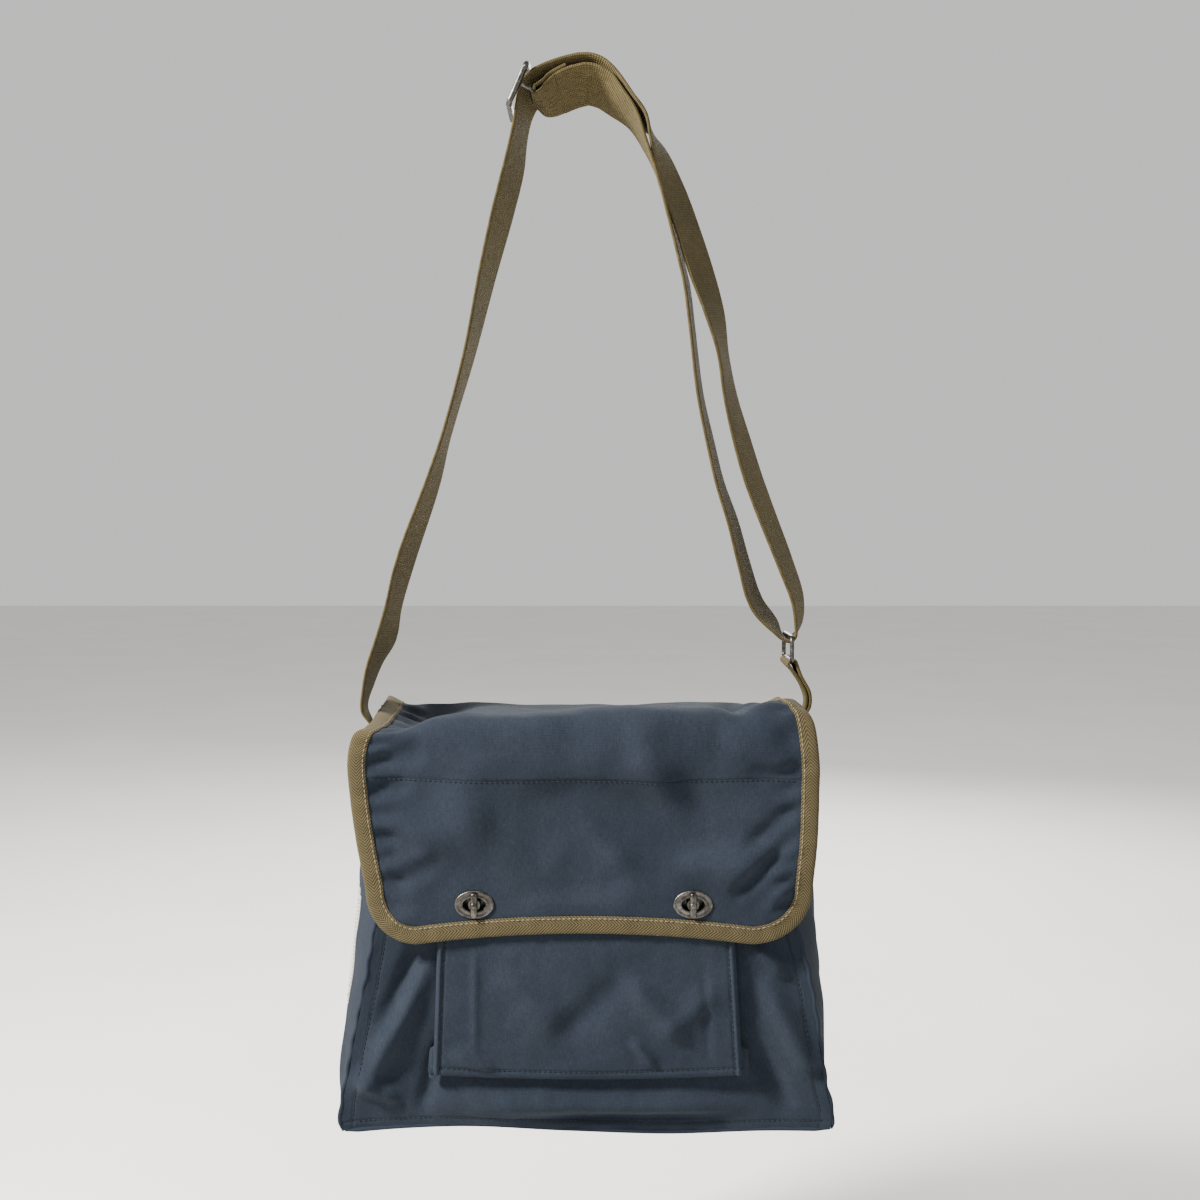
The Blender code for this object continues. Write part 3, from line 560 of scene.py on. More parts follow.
BACK_FOLDS = (
    (-0.15, -0.75, -0.06, -0.6, 0.0018, 0.012), (0.15, -0.74, 0.08, -0.56, 0.0018, 0.012),
    (-0.12, -0.52, 0.09, -0.56, -0.0016, 0.016), (-0.15, -0.7, 0.15, -0.69, 0.0012, 0.014))


def seam_x(z, side):
    return along_table(z, SEAM_LEFT if side < 0 else SEAM_RIGHT)


def back_x(z, side):
    share = np.clip((z - BOTTOM_Z) / (MOUTH_Z - BOTTOM_Z), 0, 1)
    return BAG_X + side * (BACK_HALF_BOTTOM + (BACK_HALF_TOP - BACK_HALF_BOTTOM) * share)


def gusset_point(side, depth, z):
    """A point on the outside of one side, by its share of the depth from the front seam."""
    front, back = seam_x(z, side), back_x(z, side)
    height = np.clip((z - BOTTOM_Z) / (MOUTH_Z - BOTTOM_Z), 0, 1)
    swell = 0.001 + GUSSET_BULGE * np.sin(math.pi * height)
    if side < 0:
        swell = swell + along_table(z, LEFT_SWELL)
    x = front + (back - front) * (1 - (1 - depth) ** 2) + side * swell * np.sin(math.pi * depth)
    y = FRONT_Y + 0.0008 + (BACK_Y - FRONT_Y - 0.0012) * depth
    x = x + side * folds(depth * 0.1, z, GUSSET_FOLDS)
    x = x + side * 0.0026 * cloud(y, z, 0.035, 3.0 + side) * np.sin(math.pi * depth)
    return places(x, y, z)


def front_grid():
    across = lines(0.0, 1.0, 150, (0.024, 0.976), 0.01, 0.0022)
    up = lines(0.0, 1.0, 150, (0.02,), 0.012, 0.0026)
    u, v = grid(across, up)
    first_x = seam_x(BOTTOM_Z, -1) * (1 - u) + seam_x(BOTTOM_Z, 1) * u
    low = along_table(first_x, LOWER_EDGE)
    z = low + (MOUTH_Z - MOUTH_DROP - low) * v
    left, right = seam_x(z, -1), seam_x(z, 1)
    x = left + (right - left) * u
    belly = along_table(z, ((-0.766, 0.0), (-0.758, 0.0018), (-0.744, 0.0042), (-0.715, 0.003),
                            (-0.67, 0.002), (-0.63, 0.0006), (-0.6, 0.0), (-0.47, 0.0)))
    free = smooth_step((-0.606 - z) / 0.03)
    height = belly * np.sin(math.pi * u) ** 0.6
    height = height + free * (FRONT_RELIEF * folds(x, z, FRONT_FOLDS) + 0.0026 * cloud(x, z, 0.045, 1.0)
                              + 0.0008 * cloud(x, z, 0.016, 2.0))
    edge = np.minimum(x - left, right - x)
    height = height + groove(edge - SEAM_INSET) + groove(z - low - 0.006)
    height = height + 0.0009 * np.exp(-(edge / 0.0035) ** 2)
    return places(x, FRONT_Y - height, z)


def make_front():
    points = front_grid()
    bag_cloth("front_canvas", "front_panel", points, points[..., [0, 2]])
    for word, side in SIDES:
        z = np.linspace(-0.757, -0.56, 160)
        x = seam_x(z, side) - side * SEAM_INSET
        stitch_on(points, x, z, "front_seam_stitches_" + word)
    x = np.linspace(-0.165, 0.165, 200)
    stitch_on(points, x, along_table(x, LOWER_EDGE) + 0.006, "front_hem_stitches")


def surface_y(points, x, z):
    """The front-most y of a grid of points at places across and up, from its nearest point."""
    flat = points.reshape(-1, 3)
    found = []
    for across, up in zip(x, z):
        found.append(flat[np.argmin((flat[:, 0] - across) ** 2 + (flat[:, 2] - up) ** 2), 1])
    return np.array(found)


def stitch_on(points, x, z, name):
    """A stitch row on a front-facing grid of the bag."""
    y = surface_y(points, x, z)
    y = np.convolve(np.pad(y, 4, mode="edge"), np.ones(9) / 9, "valid") - 0.0001
    path = places(x, y, z)
    dress(stitches(name, path, (0, -1, 0), SLATE_THREAD), "bag", "canvas")


def make_gussets():
    for word, side in SIDES:
        depth = lines(0.0, 1.0, 60)
        u, v = grid(depth, np.linspace(0, 1, 120))
        low, top = BOTTOM_Z - 0.002, MOUTH_Z - MOUTH_DROP * (1 - smooth_step((u - 0.25) / 0.45))
        points = gusset_point(side, u, low + (top - low) * v)
        if side < 0:
            points = points[::-1]
        bag_cloth("gusset_canvas_" + word, "gusset_" + word, points, points[..., 1:])


def make_back():
    u, v = grid(np.linspace(0, 1, 110), np.linspace(0, 1, 100))
    low = BOTTOM_Z - 0.002
    z = low + (FOLD_Z - 0.0012 - low) * v
    left, right = back_x(z, -1), back_x(z, 1)
    x = right + (left - right) * u
    height = BACK_RELIEF * folds(x, z, BACK_FOLDS)
    height = height + 0.0028 * cloud(x, z, 0.06, 7.0) + 0.0009 * cloud(x, z, 0.02, 8.0)
    edge = np.minimum(right - x, x - left)
    height = height * smooth_step(edge / 0.02) + groove(edge - SEAM_INSET) + groove(z - low - 0.007)
    points = places(x, BACK_Y - 0.0006 + height, z)
    bag_cloth("back_canvas", "back_panel", points, points[..., [0, 2]])
    for word, side in SIDES:
        z = np.linspace(-0.755, -0.476, 200)
        path = places(back_x(z, side) - side * SEAM_INSET, BACK_Y, z)
        dress(stitches("back_seam_stitches_" + word, path, (0, 1, 0), SLATE_THREAD), "bag", "canvas")


def make_bottom():
    u, v = grid(np.linspace(0, 1, 90), np.linspace(0, 1, 34))
    front_x = seam_x(BOTTOM_Z, -1) * (1 - u) + seam_x(BOTTOM_Z, 1) * u
    rear_x = back_x(BOTTOM_Z, -1) * (1 - u) + back_x(BOTTOM_Z, 1) * u
    x = front_x + (rear_x - front_x) * v
    y = FRONT_Y + 0.0006 + (BACK_Y - FRONT_Y - 0.0012) * v
    edge_z = along_table(front_x, LOWER_EDGE)
    sag = 0.0035 * np.sin(math.pi * v) * np.sin(math.pi * u) + 0.0012 * cloud(x, y, 0.05, 11.0)
    z = edge_z + 0.0004 + (BOTTOM_Z - 0.001 - edge_z) * v - sag * np.sin(math.pi * v)
    points = places(x, y, z)[:, ::-1]
    bag_cloth("bottom_canvas", "bottom_panel", points, points[..., :2])


def taper(count, radius, ends):
    place = np.linspace(0, 1, count)
    return radius * (0.35 + 0.65 * smooth_step(place / ends) * smooth_step((1 - place) / ends))


def make_seams():
    """The turned seam allowances that stand up as soft ridges where the panels meet."""
    for word, side in SIDES:
        z = np.linspace(-0.7625, MOUTH_Z - MOUTH_DROP - 0.004, 150)
        wobble = 0.0005 * np.sin(z * 330 + side)
        path = places(seam_x(z, side) + side * (0.0009 + wobble), FRONT_Y + 0.0002, z)
        bag_seam("front_seam_" + word, path, 0.0017, 0.015)
        z = np.linspace(-0.761, FOLD_Z - 0.012, 150)
        path = places(back_x(z, side) + side * 0.0006, BACK_Y - 0.0004, z)
        bag_seam("back_seam_" + word, path, 0.0015, 0.04)
        foot = gusset_point(side, np.linspace(0, 1, 60), BOTTOM_Z - 0.001)
        foot[:, 2] = np.linspace(along_table(foot[0, 0], LOWER_EDGE), BOTTOM_Z - 0.001, 60)
        bag_seam("side_hem_" + word, foot, 0.0014)
    x = np.linspace(-0.1735, 0.1735, 180)
    path = places(x, FRONT_Y + 0.0003, along_table(x, LOWER_EDGE) - 0.0004)
    bag_seam("front_hem", path, 0.0016, 0.03)
    x = np.linspace(back_x(BOTTOM_Z, -1) - 0.002, back_x(BOTTOM_Z, 1) + 0.002, 150)
    bag_seam("back_hem", places(x, BACK_Y - 0.0006, BOTTOM_Z - 0.0015), 0.0015, 0.03)


def make_label():
    """A blank woven label, stitched down on the left side."""
    span = BACK_Y - FRONT_Y
    low, high = (LABEL_LOW.y - FRONT_Y) / span, (LABEL_HIGH.y - FRONT_Y) / span
    u, v = grid(np.linspace(low, high, 26), np.linspace(LABEL_LOW.z, LABEL_HIGH.z, 44))
    points = gusset_point(-1, u, v)[::-1]
    points[..., 0] -= 0.0008
    piece = cloth("blank_label", points, points[..., 1:], 0.0006, LABEL_CLOTH)
    dress(piece, "bag", "label_cloth", "side_label")
    inner = points[2:-2, 2:-2]
    path = np.concatenate((inner[:, 0], inner[-1], inner[::-1, -1], inner[0, ::-1]))
    thread = stitches("label_stitches", path, (-1, 0, 0), KHAKI_THREAD, 0.003, 0.0021, 0.0003)
    dress(thread, "bag", "label_cloth")


# ---- pocket
POCKET_RELIEF = 2.9
POCKET_FOLDS = (
    (-0.079, -0.716, -0.0785, -0.615, 0.0005, 0.0026), (0.087, -0.718, 0.082, -0.63, -0.0005, 0.0034),
    (0.02, -0.64, 0.075, -0.7, 0.0016, 0.0085), (-0.03, -0.7, 0.04, -0.64, -0.0013, 0.01),
    (-0.07, -0.64, -0.01, -0.69, 0.0011, 0.0095), (0.03, -0.69, 0.052, -0.716, 0.0012, 0.004),
    (-0.1, -0.7, -0.06, -0.719, 0.0011, 0.005), (0.044, -0.7, 0.1, -0.65, 0.0012, 0.008))


def pocket_edge(z, side):
    share = (POCKET_HIGH.z - z) / (POCKET_HIGH.z - POCKET_LOW.z)
    return (-0.105 - 0.0042 * share) if side < 0 else (0.104 + 0.007 * share)


def pocket_y(z):
    share = (POCKET_HIGH.z - z) / (POCKET_HIGH.z - POCKET_LOW.z)
    return -0.067 - 0.004 * share


def pocket_grid():
    across = lines(0.0, 1.0, 120, (0.024, 0.976), 0.012, 0.003)
    up = lines(0.0, 1.0, 84, (0.052,), 0.02, 0.005)
    u, v = grid(across, up)
    bow = -0.7222 + 0.0032 * (2 * u - 1) ** 2
    z = bow + (POCKET_HIGH.z - bow) * v
    left, right = pocket_edge(z, -1), pocket_edge(z, 1)
    x = left + (right - left) * u
    edge = np.minimum(x - left, right - x)
    height = POCKET_RELIEF * folds(x, z, POCKET_FOLDS)
    height = height + 0.0018 * cloud(x, z, 0.035, 21.0) + 0.0005 * cloud(x, z, 0.012, 22.0)
    height = height * smooth_step((z - bow) / 0.01)
    height = height - 0.0016 * np.exp(-(edge / 0.0013) ** 2) - 0.0016 * np.exp(-((z - bow) / 0.0014) ** 2)
    height = height + 0.0013 * np.exp(-((edge - 0.0026) / 0.0016) ** 2)
    height = height + groove(edge - 0.0052, 0.0006) + groove(z - bow - 0.0058, 0.0006)
    return places(x, pocket_y(z) - height, z), bow[:, 0]


def make_pocket():
    points, bow = pocket_grid()
    bag_cloth("pocket_canvas", "pocket_front", points, points[..., [0, 2]])
    for word, side in SIDES:
        z = np.linspace(-0.7155, -0.612, 90)
        stitch_on(points, pocket_edge(z, side) - side * 0.0052, z, "pocket_stitches_" + word)
        pocket_bellows(word, side)
    x = points[6:-6, 0, 0]
    stitch_on(points, x, bow[6:-6] + 0.0058, "pocket_stitches_bottom")
    pocket_floor()


def pocket_bellows(word, side):
    """The folded side strip: tucked in behind the pocket's edge, and turned out as a dog ear at its foot."""
    z = np.linspace(-0.7215, POCKET_HIGH.z - 0.001, 70)
    ear = smooth_step((-0.69 - z) / 0.012)
    tuck = -0.016 * (1 - ear) + (0.0042 if side < 0 else 0.0062) * ear
    edge = np.abs(pocket_edge(z, side) - BAG_X)
    near, far = pocket_y(z) + 0.0016, np.full_like(z, FRONT_Y - 0.0014)
    far = far - 0.0022 * smooth_step((-0.62 - z) / 0.05)
    profile = []
    for share in np.linspace(0, 1, 15):
        bend = np.sin(math.pi * share) ** 0.8
        profile.append(places(BAG_X + side * (edge - 0.001 + tuck * bend), near + (far - near) * share, z))
    points = np.stack(profile)
    if side < 0:
        points = points[::-1]
    uv = places(points[..., 0] + points[..., 1], points[..., 2])
    bag_cloth("pocket_bellows_" + word, "pocket_gusset_" + word, points, uv, 0.0009)


def pocket_floor():
    """The bellows strip under the pocket, with a turned-out ear at each end."""
    u, v = grid(np.linspace(-1, 1, 110), np.linspace(0, 1, 12))
    half = 0.1105 + 0.0012 * np.sin(math.pi * v)
    bow = -0.7212 + 0.003 * u ** 2
    x = BAG_X + 0.0008 + u * half
    y = -0.0695 + 0.0065 * v
    z = bow + 0.001 + 0.016 * v ** 2.2 + 0.0008 * cloud(x, y, 0.02, 31.0)
    points = places(x, y, z)[:, ::-1]
    bag_cloth("pocket_floor", "pocket_gusset_bottom", points, points[..., :2])


# ---- flap
FLAP_RELIEF = 1.25
FLAP_FOLDS = (
    (-0.13, -0.492, 0.12, -0.494, 0.0042, 0.022), (-0.06, -0.545, 0.11, -0.532, -0.005, 0.026),
    (-0.02, -0.56, 0.03, -0.6, -0.0038, 0.02), (0.05, -0.59, 0.15, -0.56, 0.0062, 0.019),
    (-0.14, -0.56, -0.06, -0.535, 0.0055, 0.02), (-0.11, -0.5, -0.03, -0.59, 0.0035, 0.014),
    (0.03, -0.47, 0.075, -0.56, 0.0045, 0.014), (-0.015, -0.52, 0.04, -0.585, 0.0032, 0.011),
    (0.095, -0.598, 0.152, -0.545, -0.0042, 0.006), (0.118, -0.606, 0.16, -0.568, 0.0034, 0.005),
    (0.105, -0.56, 0.158, -0.522, -0.003, 0.006), (-0.158, -0.5, -0.11, -0.486, -0.0045, 0.007),
    (-0.16, -0.522, -0.12, -0.508, -0.0036, 0.006), (-0.156, -0.545, -0.11, -0.56, -0.003, 0.006),
    (-0.15, -0.59, -0.095, -0.56, -0.0028, 0.008), (0.09, -0.478, 0.155, -0.5, 0.0036, 0.009),
    (0.11, -0.5, 0.158, -0.512, -0.003, 0.007), (-0.05, -0.602, 0.04, -0.59, 0.003, 0.01))
HOLLOW_LIMIT = 0.0042


def flap_bottom(x):
    return FLAP_CENTRE_DROP + FLAP_BOW * np.minimum(np.abs(x), 0.124) ** 2


def flap_half(s, sign, inset=0.0):
    """The flap's half-width on one side at a distance along it from the fold, moved in by an inset."""
    upright = np.minimum(s, CORNER_DROP)
    half = np.where(sign < 0, along_table(upright, LEFT_HALVES), along_table(upright, RIGHT_HALVES))
    turn = np.clip((s - CORNER_DROP) / (CORNER_RADIUS - inset), 0, 1)
    return CORNER_X + (half - CORNER_X - inset) * np.sqrt(1 - turn ** 2)


def flap_mid(x, s):
    """The flap's middle surface, across and along from the fold, before its creases."""
    shape = np.shape(x)
    x, s = np.ravel(x), np.ravel(s)
    crest = along_table(np.clip(x + BAG_X, -0.168, 0.168), CREST)
    ear = 0.0065 * np.exp(-((np.abs(x) - 0.1555) / 0.01) ** 2)
    rear_z = np.full_like(x, FOLD_Z - 0.0008) + ear
    knots = (FLAP_REAR_S, -0.086, -0.056, -0.027, -0.011, 0.003, 0.022, 0.05, 0.1, 0.16)
    hang_y = [FOLD_Y - drop * math.sin(FLAP_TILT) for drop in knots[6:]]
    hang_z = [FOLD_Z - drop * math.cos(FLAP_TILT) for drop in knots[6:]]
    y = [np.full_like(x, place) for place in (LIFT_Y, 0.0195, -0.01, -0.0385, -0.0535, -0.063)]
    y += [np.full_like(x, hang_y[0] - 0.0022), np.full_like(x, hang_y[1] - 0.0008)]
    y += [np.full_like(x, place) for place in hang_y[2:]]
    side = smooth_step((np.abs(x) - 0.125) / 0.028)
    place = x + BAG_X
    dip = 0.0085 * np.exp(-((place + 0.113) / 0.021) ** 2) + 0.0065 * np.exp(-((place - 0.108) / 0.013) ** 2)
    z = [rear_z, 0.85 * rear_z + 0.15 * crest - 0.0006 - dip,
         0.45 * rear_z + 0.55 * crest - 0.0014 + 0.003 * side - dip,
         crest - 0.0016 + 0.0044 * side - 0.6 * dip,
         crest + 0.0006 * side, crest * 0.72 + (FOLD_Z - 0.01) * 0.28]
    z += [np.full_like(x, place) for place in hang_z]
    made = places(x + BAG_X, hermite(s, knots, np.array(y)), hermite(s, knots, np.array(z)))
    return made.reshape(*shape, 3)


def flap_height(x, s):
    """How far the cloth stands off its middle surface: creases, puckers at the tape, flat at the locks."""
    place_x, place_z = x + BAG_X, FOLD_Z - s
    height = FLAP_RELIEF * folds(place_x, place_z, FLAP_FOLDS)
    height = height + 0.0032 * cloud(place_x, place_z, 0.06, 41.0)
    height = height + 0.0011 * cloud(place_x, place_z, 0.022, 42.0)
    height = np.where(height < 0, HOLLOW_LIMIT * np.tanh(height / HOLLOW_LIMIT), height)
    side_edge = flap_half(s, x) - np.abs(x)
    edge = np.minimum(side_edge, flap_bottom(x) - s)
    pucker = np.sin(2 * math.pi * s / 0.0165 + 2.2 * cloud(place_x, place_z, 0.03, 43.0))
    height = height + 0.0016 * pucker * np.exp(-((side_edge - TAPE_WIDTH - 0.006) / 0.011) ** 2)
    height = height * (0.12 + 0.88 * smooth_step((edge - 0.004) / 0.022))
    for lock in LOCKS.values():
        distance = np.hypot(place_x - lock.x, place_z - lock.z)
        height = height * (1 - np.exp(-(distance / LOCK_FLAT) ** 4))
    return height


def flap_normals(x, s):
    step = 0.0008
    across = flap_mid(x + step, s) - flap_mid(x - step, s)
    down = flap_mid(x, s + step) - flap_mid(x, s - step)
    return unit(np.cross(down, across))


def flap_point(x, s, lift=0.0):
    """A point of the creased flap, lifted off its middle surface along the outward normal."""
    x, s = np.asarray(x, float), np.asarray(s, float)
    lift = np.asarray(lift, float) + flap_height(x, s)
    return flap_mid(x, s) + flap_normals(x, s) * lift[..., None]


def flap_rows(start, inset=0.0):
    """Distances from the fold for the flap's grid rows, closer round the corner and the stitch row."""
    upright = lines(start, CORNER_DROP, 110 if start < 0 else 50, (FLAP_STITCH_S,) if start < 0 else ())
    turns = np.linspace(0, math.pi / 2, 16)[1:]
    return np.r_[upright, CORNER_DROP + (CORNER_RADIUS - inset) * np.sin(turns)]


def flap_grid(start, inset, columns=150):
    """Across and along places that fill the flap's outline, moved inwards by an inset."""
    across = np.linspace(-1, 1, columns)
    rows = flap_rows(start, inset)
    u, s = grid(across, rows)
    x = u * flap_half(s, u, inset)
    turn = np.clip((s - CORNER_DROP) / (CORNER_RADIUS - inset), 0, 1)
    along = np.where(s <= CORNER_DROP, s, CORNER_DROP + turn * (flap_bottom(x) - inset - CORNER_DROP))
    return x, along


def outside_locks(points):
    """True for grid cells that are clear of both lock slots."""
    centres = (points[:-1, :-1] + points[1:, 1:]) / 2
    keep = np.ones(centres.shape[:2], bool)
    for lock in LOCKS.values():
        reach = np.hypot((centres[..., 0] - lock.x) / LOCK_HOLE[0], (centres[..., 2] - lock.z) / LOCK_HOLE[1])
        keep &= (reach > 1) | (centres[..., 2] > MOUTH_Z)
    return keep


def make_flap():
    x, s = flap_grid(FLAP_REAR_S, 0.0012, 190)
    points = flap_point(x, s, CANVAS / 2 + groove(s - FLAP_STITCH_S))
    uv = places(x, -s)
    flap = cloth("flap_canvas", points[::-1], uv[::-1], CANVAS, CANVAS_CLOTH, outside_locks(points[::-1]))
    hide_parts("flap_top_panel", "flap_front_panel")
    across = np.linspace(-0.149, 0.149, 220)
    row = np.full(220, FLAP_STITCH_S + 0.0006)
    path = flap_point(across, row, CANVAS / 2 - 0.0001)
    sewn = stitches("flap_cross_stitches", path, flap_normals(across, row), SLATE_THREAD)
    dress(sewn, "flap_front", "canvas")
    x, s = flap_grid(FLAP_STITCH_S, TAPE_WIDTH - 0.001, 120)
    points = flap_point(x, s, -CANVAS / 2 - 0.0002)
    lining = cloth("flap_lining", points[::-1], places(x, -s)[::-1], 0.0008, LINING_CLOTH,
                   outside_locks(points[::-1]))
    dress(lining, "flap_front", "lining", "flap_front_lining")
    return flap


def flap_outline():
    """The flap's edge from rear left round the front to rear right, and the inward way at each place."""
    turns = np.linspace(0, math.pi / 2, 40)[1:]
    upright = np.linspace(FLAP_REAR_S + 0.0005, CORNER_DROP, 150)
    s = np.r_[upright, CORNER_DROP + CORNER_RADIUS * np.sin(turns)]
    left, right = (places(sign * flap_half(s, sign), s) for sign in (-1, 1))
    across = np.linspace(-CORNER_X, CORNER_X, 160)[1:-1]
    foot = places(across, flap_bottom(across))
    edge = resample(np.concatenate((left, foot, right[::-1])), 560)
    heading = np.gradient(edge, axis=0)
    kernel = np.ones(9) / 9
    heading = np.stack([np.convolve(np.pad(part, 4, mode="edge"), kernel, "valid") for part in heading.T], -1)
    return edge, unit(places(heading[:, 1], -heading[:, 0]))


TAPE_SECTION = (
    (0.012, 0.0004), (0.0121, 0.0013), (0.0114, 0.0017), (0.008, 0.0018), (0.0045, 0.0018), (0.0018, 0.0017),
    (0.0004, 0.0013), (-0.0005, 0.0006), (-0.0007, 0.0))


def make_flap_tape():
    edge, inward = flap_outline()
    section = list(TAPE_SECTION) + [(depth, -lift) for depth, lift in reversed(TAPE_SECTION[:-1])]
    along = np.r_[0, np.cumsum(np.linalg.norm(np.diff(edge, axis=0), axis=1))]
    ripple = 0.00022 * np.sin(along / 0.0026) * np.sin(along / 0.011)
    columns, uv = [], []
    for depth, lift in section:
        place = edge + inward * depth
        columns.append(flap_point(place[:, 0], place[:, 1], lift + math.copysign(1, lift) * ripple))
        uv.append(places(np.full(len(edge), depth), along))
    tape = loft("flap_tape", np.stack(columns, axis=1), TAPE_CLOTH, np.stack(uv, axis=1))
    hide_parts("flap_top_binding_left", "flap_top_binding_right", "flap_front_binding")
    rows = []
    for word, lift in (("outer", 0.0017), ("inner", -0.0017)):
        place = edge + inward * TAPE_STITCH_DEPTH
        path = flap_point(place[:, 0], place[:, 1], lift)
        outward = flap_normals(place[:, 0], place[:, 1]) * math.copysign(1, lift)
        rows.append(stitches("tape_stitches_" + word, path, outward, KHAKI_THREAD))
    return [tape] + rows


def bend_over_fold(pieces):
    """The flap's cloth, tape and stitches get their transforms baked into their meshes."""
    for piece in pieces:
        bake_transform(piece)


# ---- turn locks
EYELET_SECTION = (
    (0.0, 0.0), (0.0, 0.0008), (0.0005, 0.00115), (0.0014, 0.0011), (0.0022, 0.00085), (0.0036, 0.0009),
    (0.0045, 0.00115), (0.0052, 0.001), (0.00575, 0.0005), (0.00575, 0.0))
BAR_SECTION = (
    (0.55, 0.0), (0.92, 0.0002), (1.0, 0.0007), (1.0, 0.0014), (0.93, 0.002), (0.72, 0.0025), (0.35, 0.0028))
RIVET_SECTION = ((0.0023, 0.0016), (0.0023, 0.003), (0.0019, 0.0034), (0.0011, 0.0037), (0.0003, 0.0038))
SLOT_HALF = (0.00825, 0.005)
PLATE_SPREAD = (1.0, 0.87)


def lock_place(lock, across, up, lift):
    """A point over a lock's middle, on the hanging flap's plane."""
    centre_y = FOLD_Y - (FOLD_Z - lock.z) * math.tan(FLAP_TILT)
    y = centre_y + up * math.sin(FLAP_TILT) - lift * math.cos(FLAP_TILT)
    return places(lock.x + across, y, lock.z + up + lift * math.sin(FLAP_TILT))


def make_eyelet(word, lock):
    turns = np.linspace(0, 2 * math.pi, 72, endpoint=False)
    sections = []
    for spread, lift in EYELET_SECTION:
        across = (SLOT_HALF[0] + spread * PLATE_SPREAD[0]) * np.cos(turns)
        up = (SLOT_HALF[1] + spread * PLATE_SPREAD[1]) * np.sin(turns)
        sections.append(lock_place(lock, across, up, CANVAS / 2 + 0.0002 + lift))
    piece = loft("lock_plate_" + word, np.stack(sections), NICKEL, closed=True)
    dress(piece, "flap_front", "antique_nickel", "turnlock_eyelet_" + word)


def bar_outline(half_width, half_height, count=40):
    turns = np.linspace(0, 2 * math.pi, count, endpoint=False)
    up = half_width * np.sin(turns)
    waist = 1 - 0.1 * np.cos(np.clip(up / half_width, -1, 1) * math.pi / 2)
    return half_width * waist * np.cos(turns), up + np.sign(np.round(up, 9)) * (half_height - half_width)


def make_bar(word, lock):
    """The bar that turns: round-ended, crowned, with a domed rivet at its middle."""
    sections = []
    for share, lift in BAR_SECTION:
        shrink = KNOB_HALF[0] * (1 - share)
        across, up = bar_outline(KNOB_HALF[0] - shrink, KNOB_HALF[1] - shrink)
        sections.append(places(lock.x + across, KNOB_BACK_Y - lift, lock.z + up))
    piece = loft("lock_bar_" + word, np.stack(sections), NICKEL, sharp=70)
    dress(piece, "knob_" + word, "antique_nickel", "turnlock_knob_" + word)
    turns = np.linspace(0, 2 * math.pi, 28, endpoint=False)
    rings = []
    for radius, lift in RIVET_SECTION:
        rings.append(places(lock.x + radius * np.cos(turns), KNOB_BACK_Y - lift,
                            lock.z + radius * np.sin(turns)))
    dress(loft("lock_rivet_" + word, np.stack(rings), NICKEL), "knob_" + word, "antique_nickel")


# ---- strap


def webbing_section():
    """Half-thickness outline of the webbing: full, rounded edges and slightly thinner between them."""
    half = WEBBING_WIDTH / 2
    across = half * np.sin(np.linspace(-1, 1, 17) * math.pi / 2)
    share = np.abs(across) / half
    thick = WEBBING / 2 * (0.9 + 0.12 * np.exp(-((share - 0.93) / 0.06) ** 2)) * np.sqrt(1 - share ** 26)
    return np.r_[across, across[-2:0:-1]], np.r_[thick, -thick[-2:0:-1]]


def ribbon(name, route, count):
    """Webbing along a route of (x, z, twist): its front edge turns to the left of the way it runs."""
    path = smooth_path(route, count)
    place = places(path[:, 0], np.zeros(count), path[:, 1])
    ahead = unit(np.gradient(place, axis=0))
    left = places(-ahead[:, 2], np.zeros(count), ahead[:, 0])
    twist = np.radians(path[:, 2])[:, None]
    to_front = np.array((0.0, -1.0, 0.0)) * np.cos(twist) + left * np.sin(twist)
    out = np.cross(ahead, to_front)
    across, thick = webbing_section()
    sections = place[:, None] + to_front[:, None] * across[:, None] + out[:, None] * thick[:, None]
    along = np.r_[0, np.cumsum(np.linalg.norm(np.diff(place, axis=0), axis=1))]
    uv = places(across[None, :], along[:, None])
    return loft(name, sections, WEBBING_CLOTH, uv, sharp=80)


def foot_x(side, z, lift):
    """Where webbing sewn to a side lies at its middle."""
    depth = -FRONT_Y / (BACK_Y - FRONT_Y)
    return gusset_point(side, np.array(depth), np.array(z))[0] + side * lift


def bend_at_bag(pieces):
    """The webbing pieces get their transforms baked into their meshes."""
    for piece in pieces:
        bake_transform(piece)


def foot_stitches(name, side, lift):
    """A sewn box with a cross bar on a webbing foot."""
    low, high, half = FOOT_BOTTOM_Z + 0.004, -0.479, WEBBING_WIDTH / 2 - 0.0035
    corners = ((-half, low), (half, low), (half, high), (-half, high), (-half, low), (half, high))
    y, z = resample(np.array(corners), 160).T
    x = np.array([foot_x(side, place, lift) for place in z]) + side * FOOT_SLOPE * y
    path = places(x, y, z)
    dress(stitches(name, path, (side, 0, 0), KHAKI_THREAD), "bag", "webbing")


def make_strap():
    foot = [(foot_x(-1, z, 0.0017), z, -FOOT_TWIST) for z in (FOOT_BOTTOM_Z, -0.507, -0.494, -0.481)]
    strap = ribbon("shoulder_strap", tuple(foot) + STRAP_ROUTE, 640)
    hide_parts("strap_left_lower", "strap_left_upper", "strap_over_hook", "strap_outer_upper",
                "strap_outer_lower", "strap_ring_bend", "strap_inner_lower", "strap_inner_upper",
                "strap_under_hook", "strap_patch_left")
    foot_stitches("strap_foot_stitches", -1, 0.0031)
    return strap


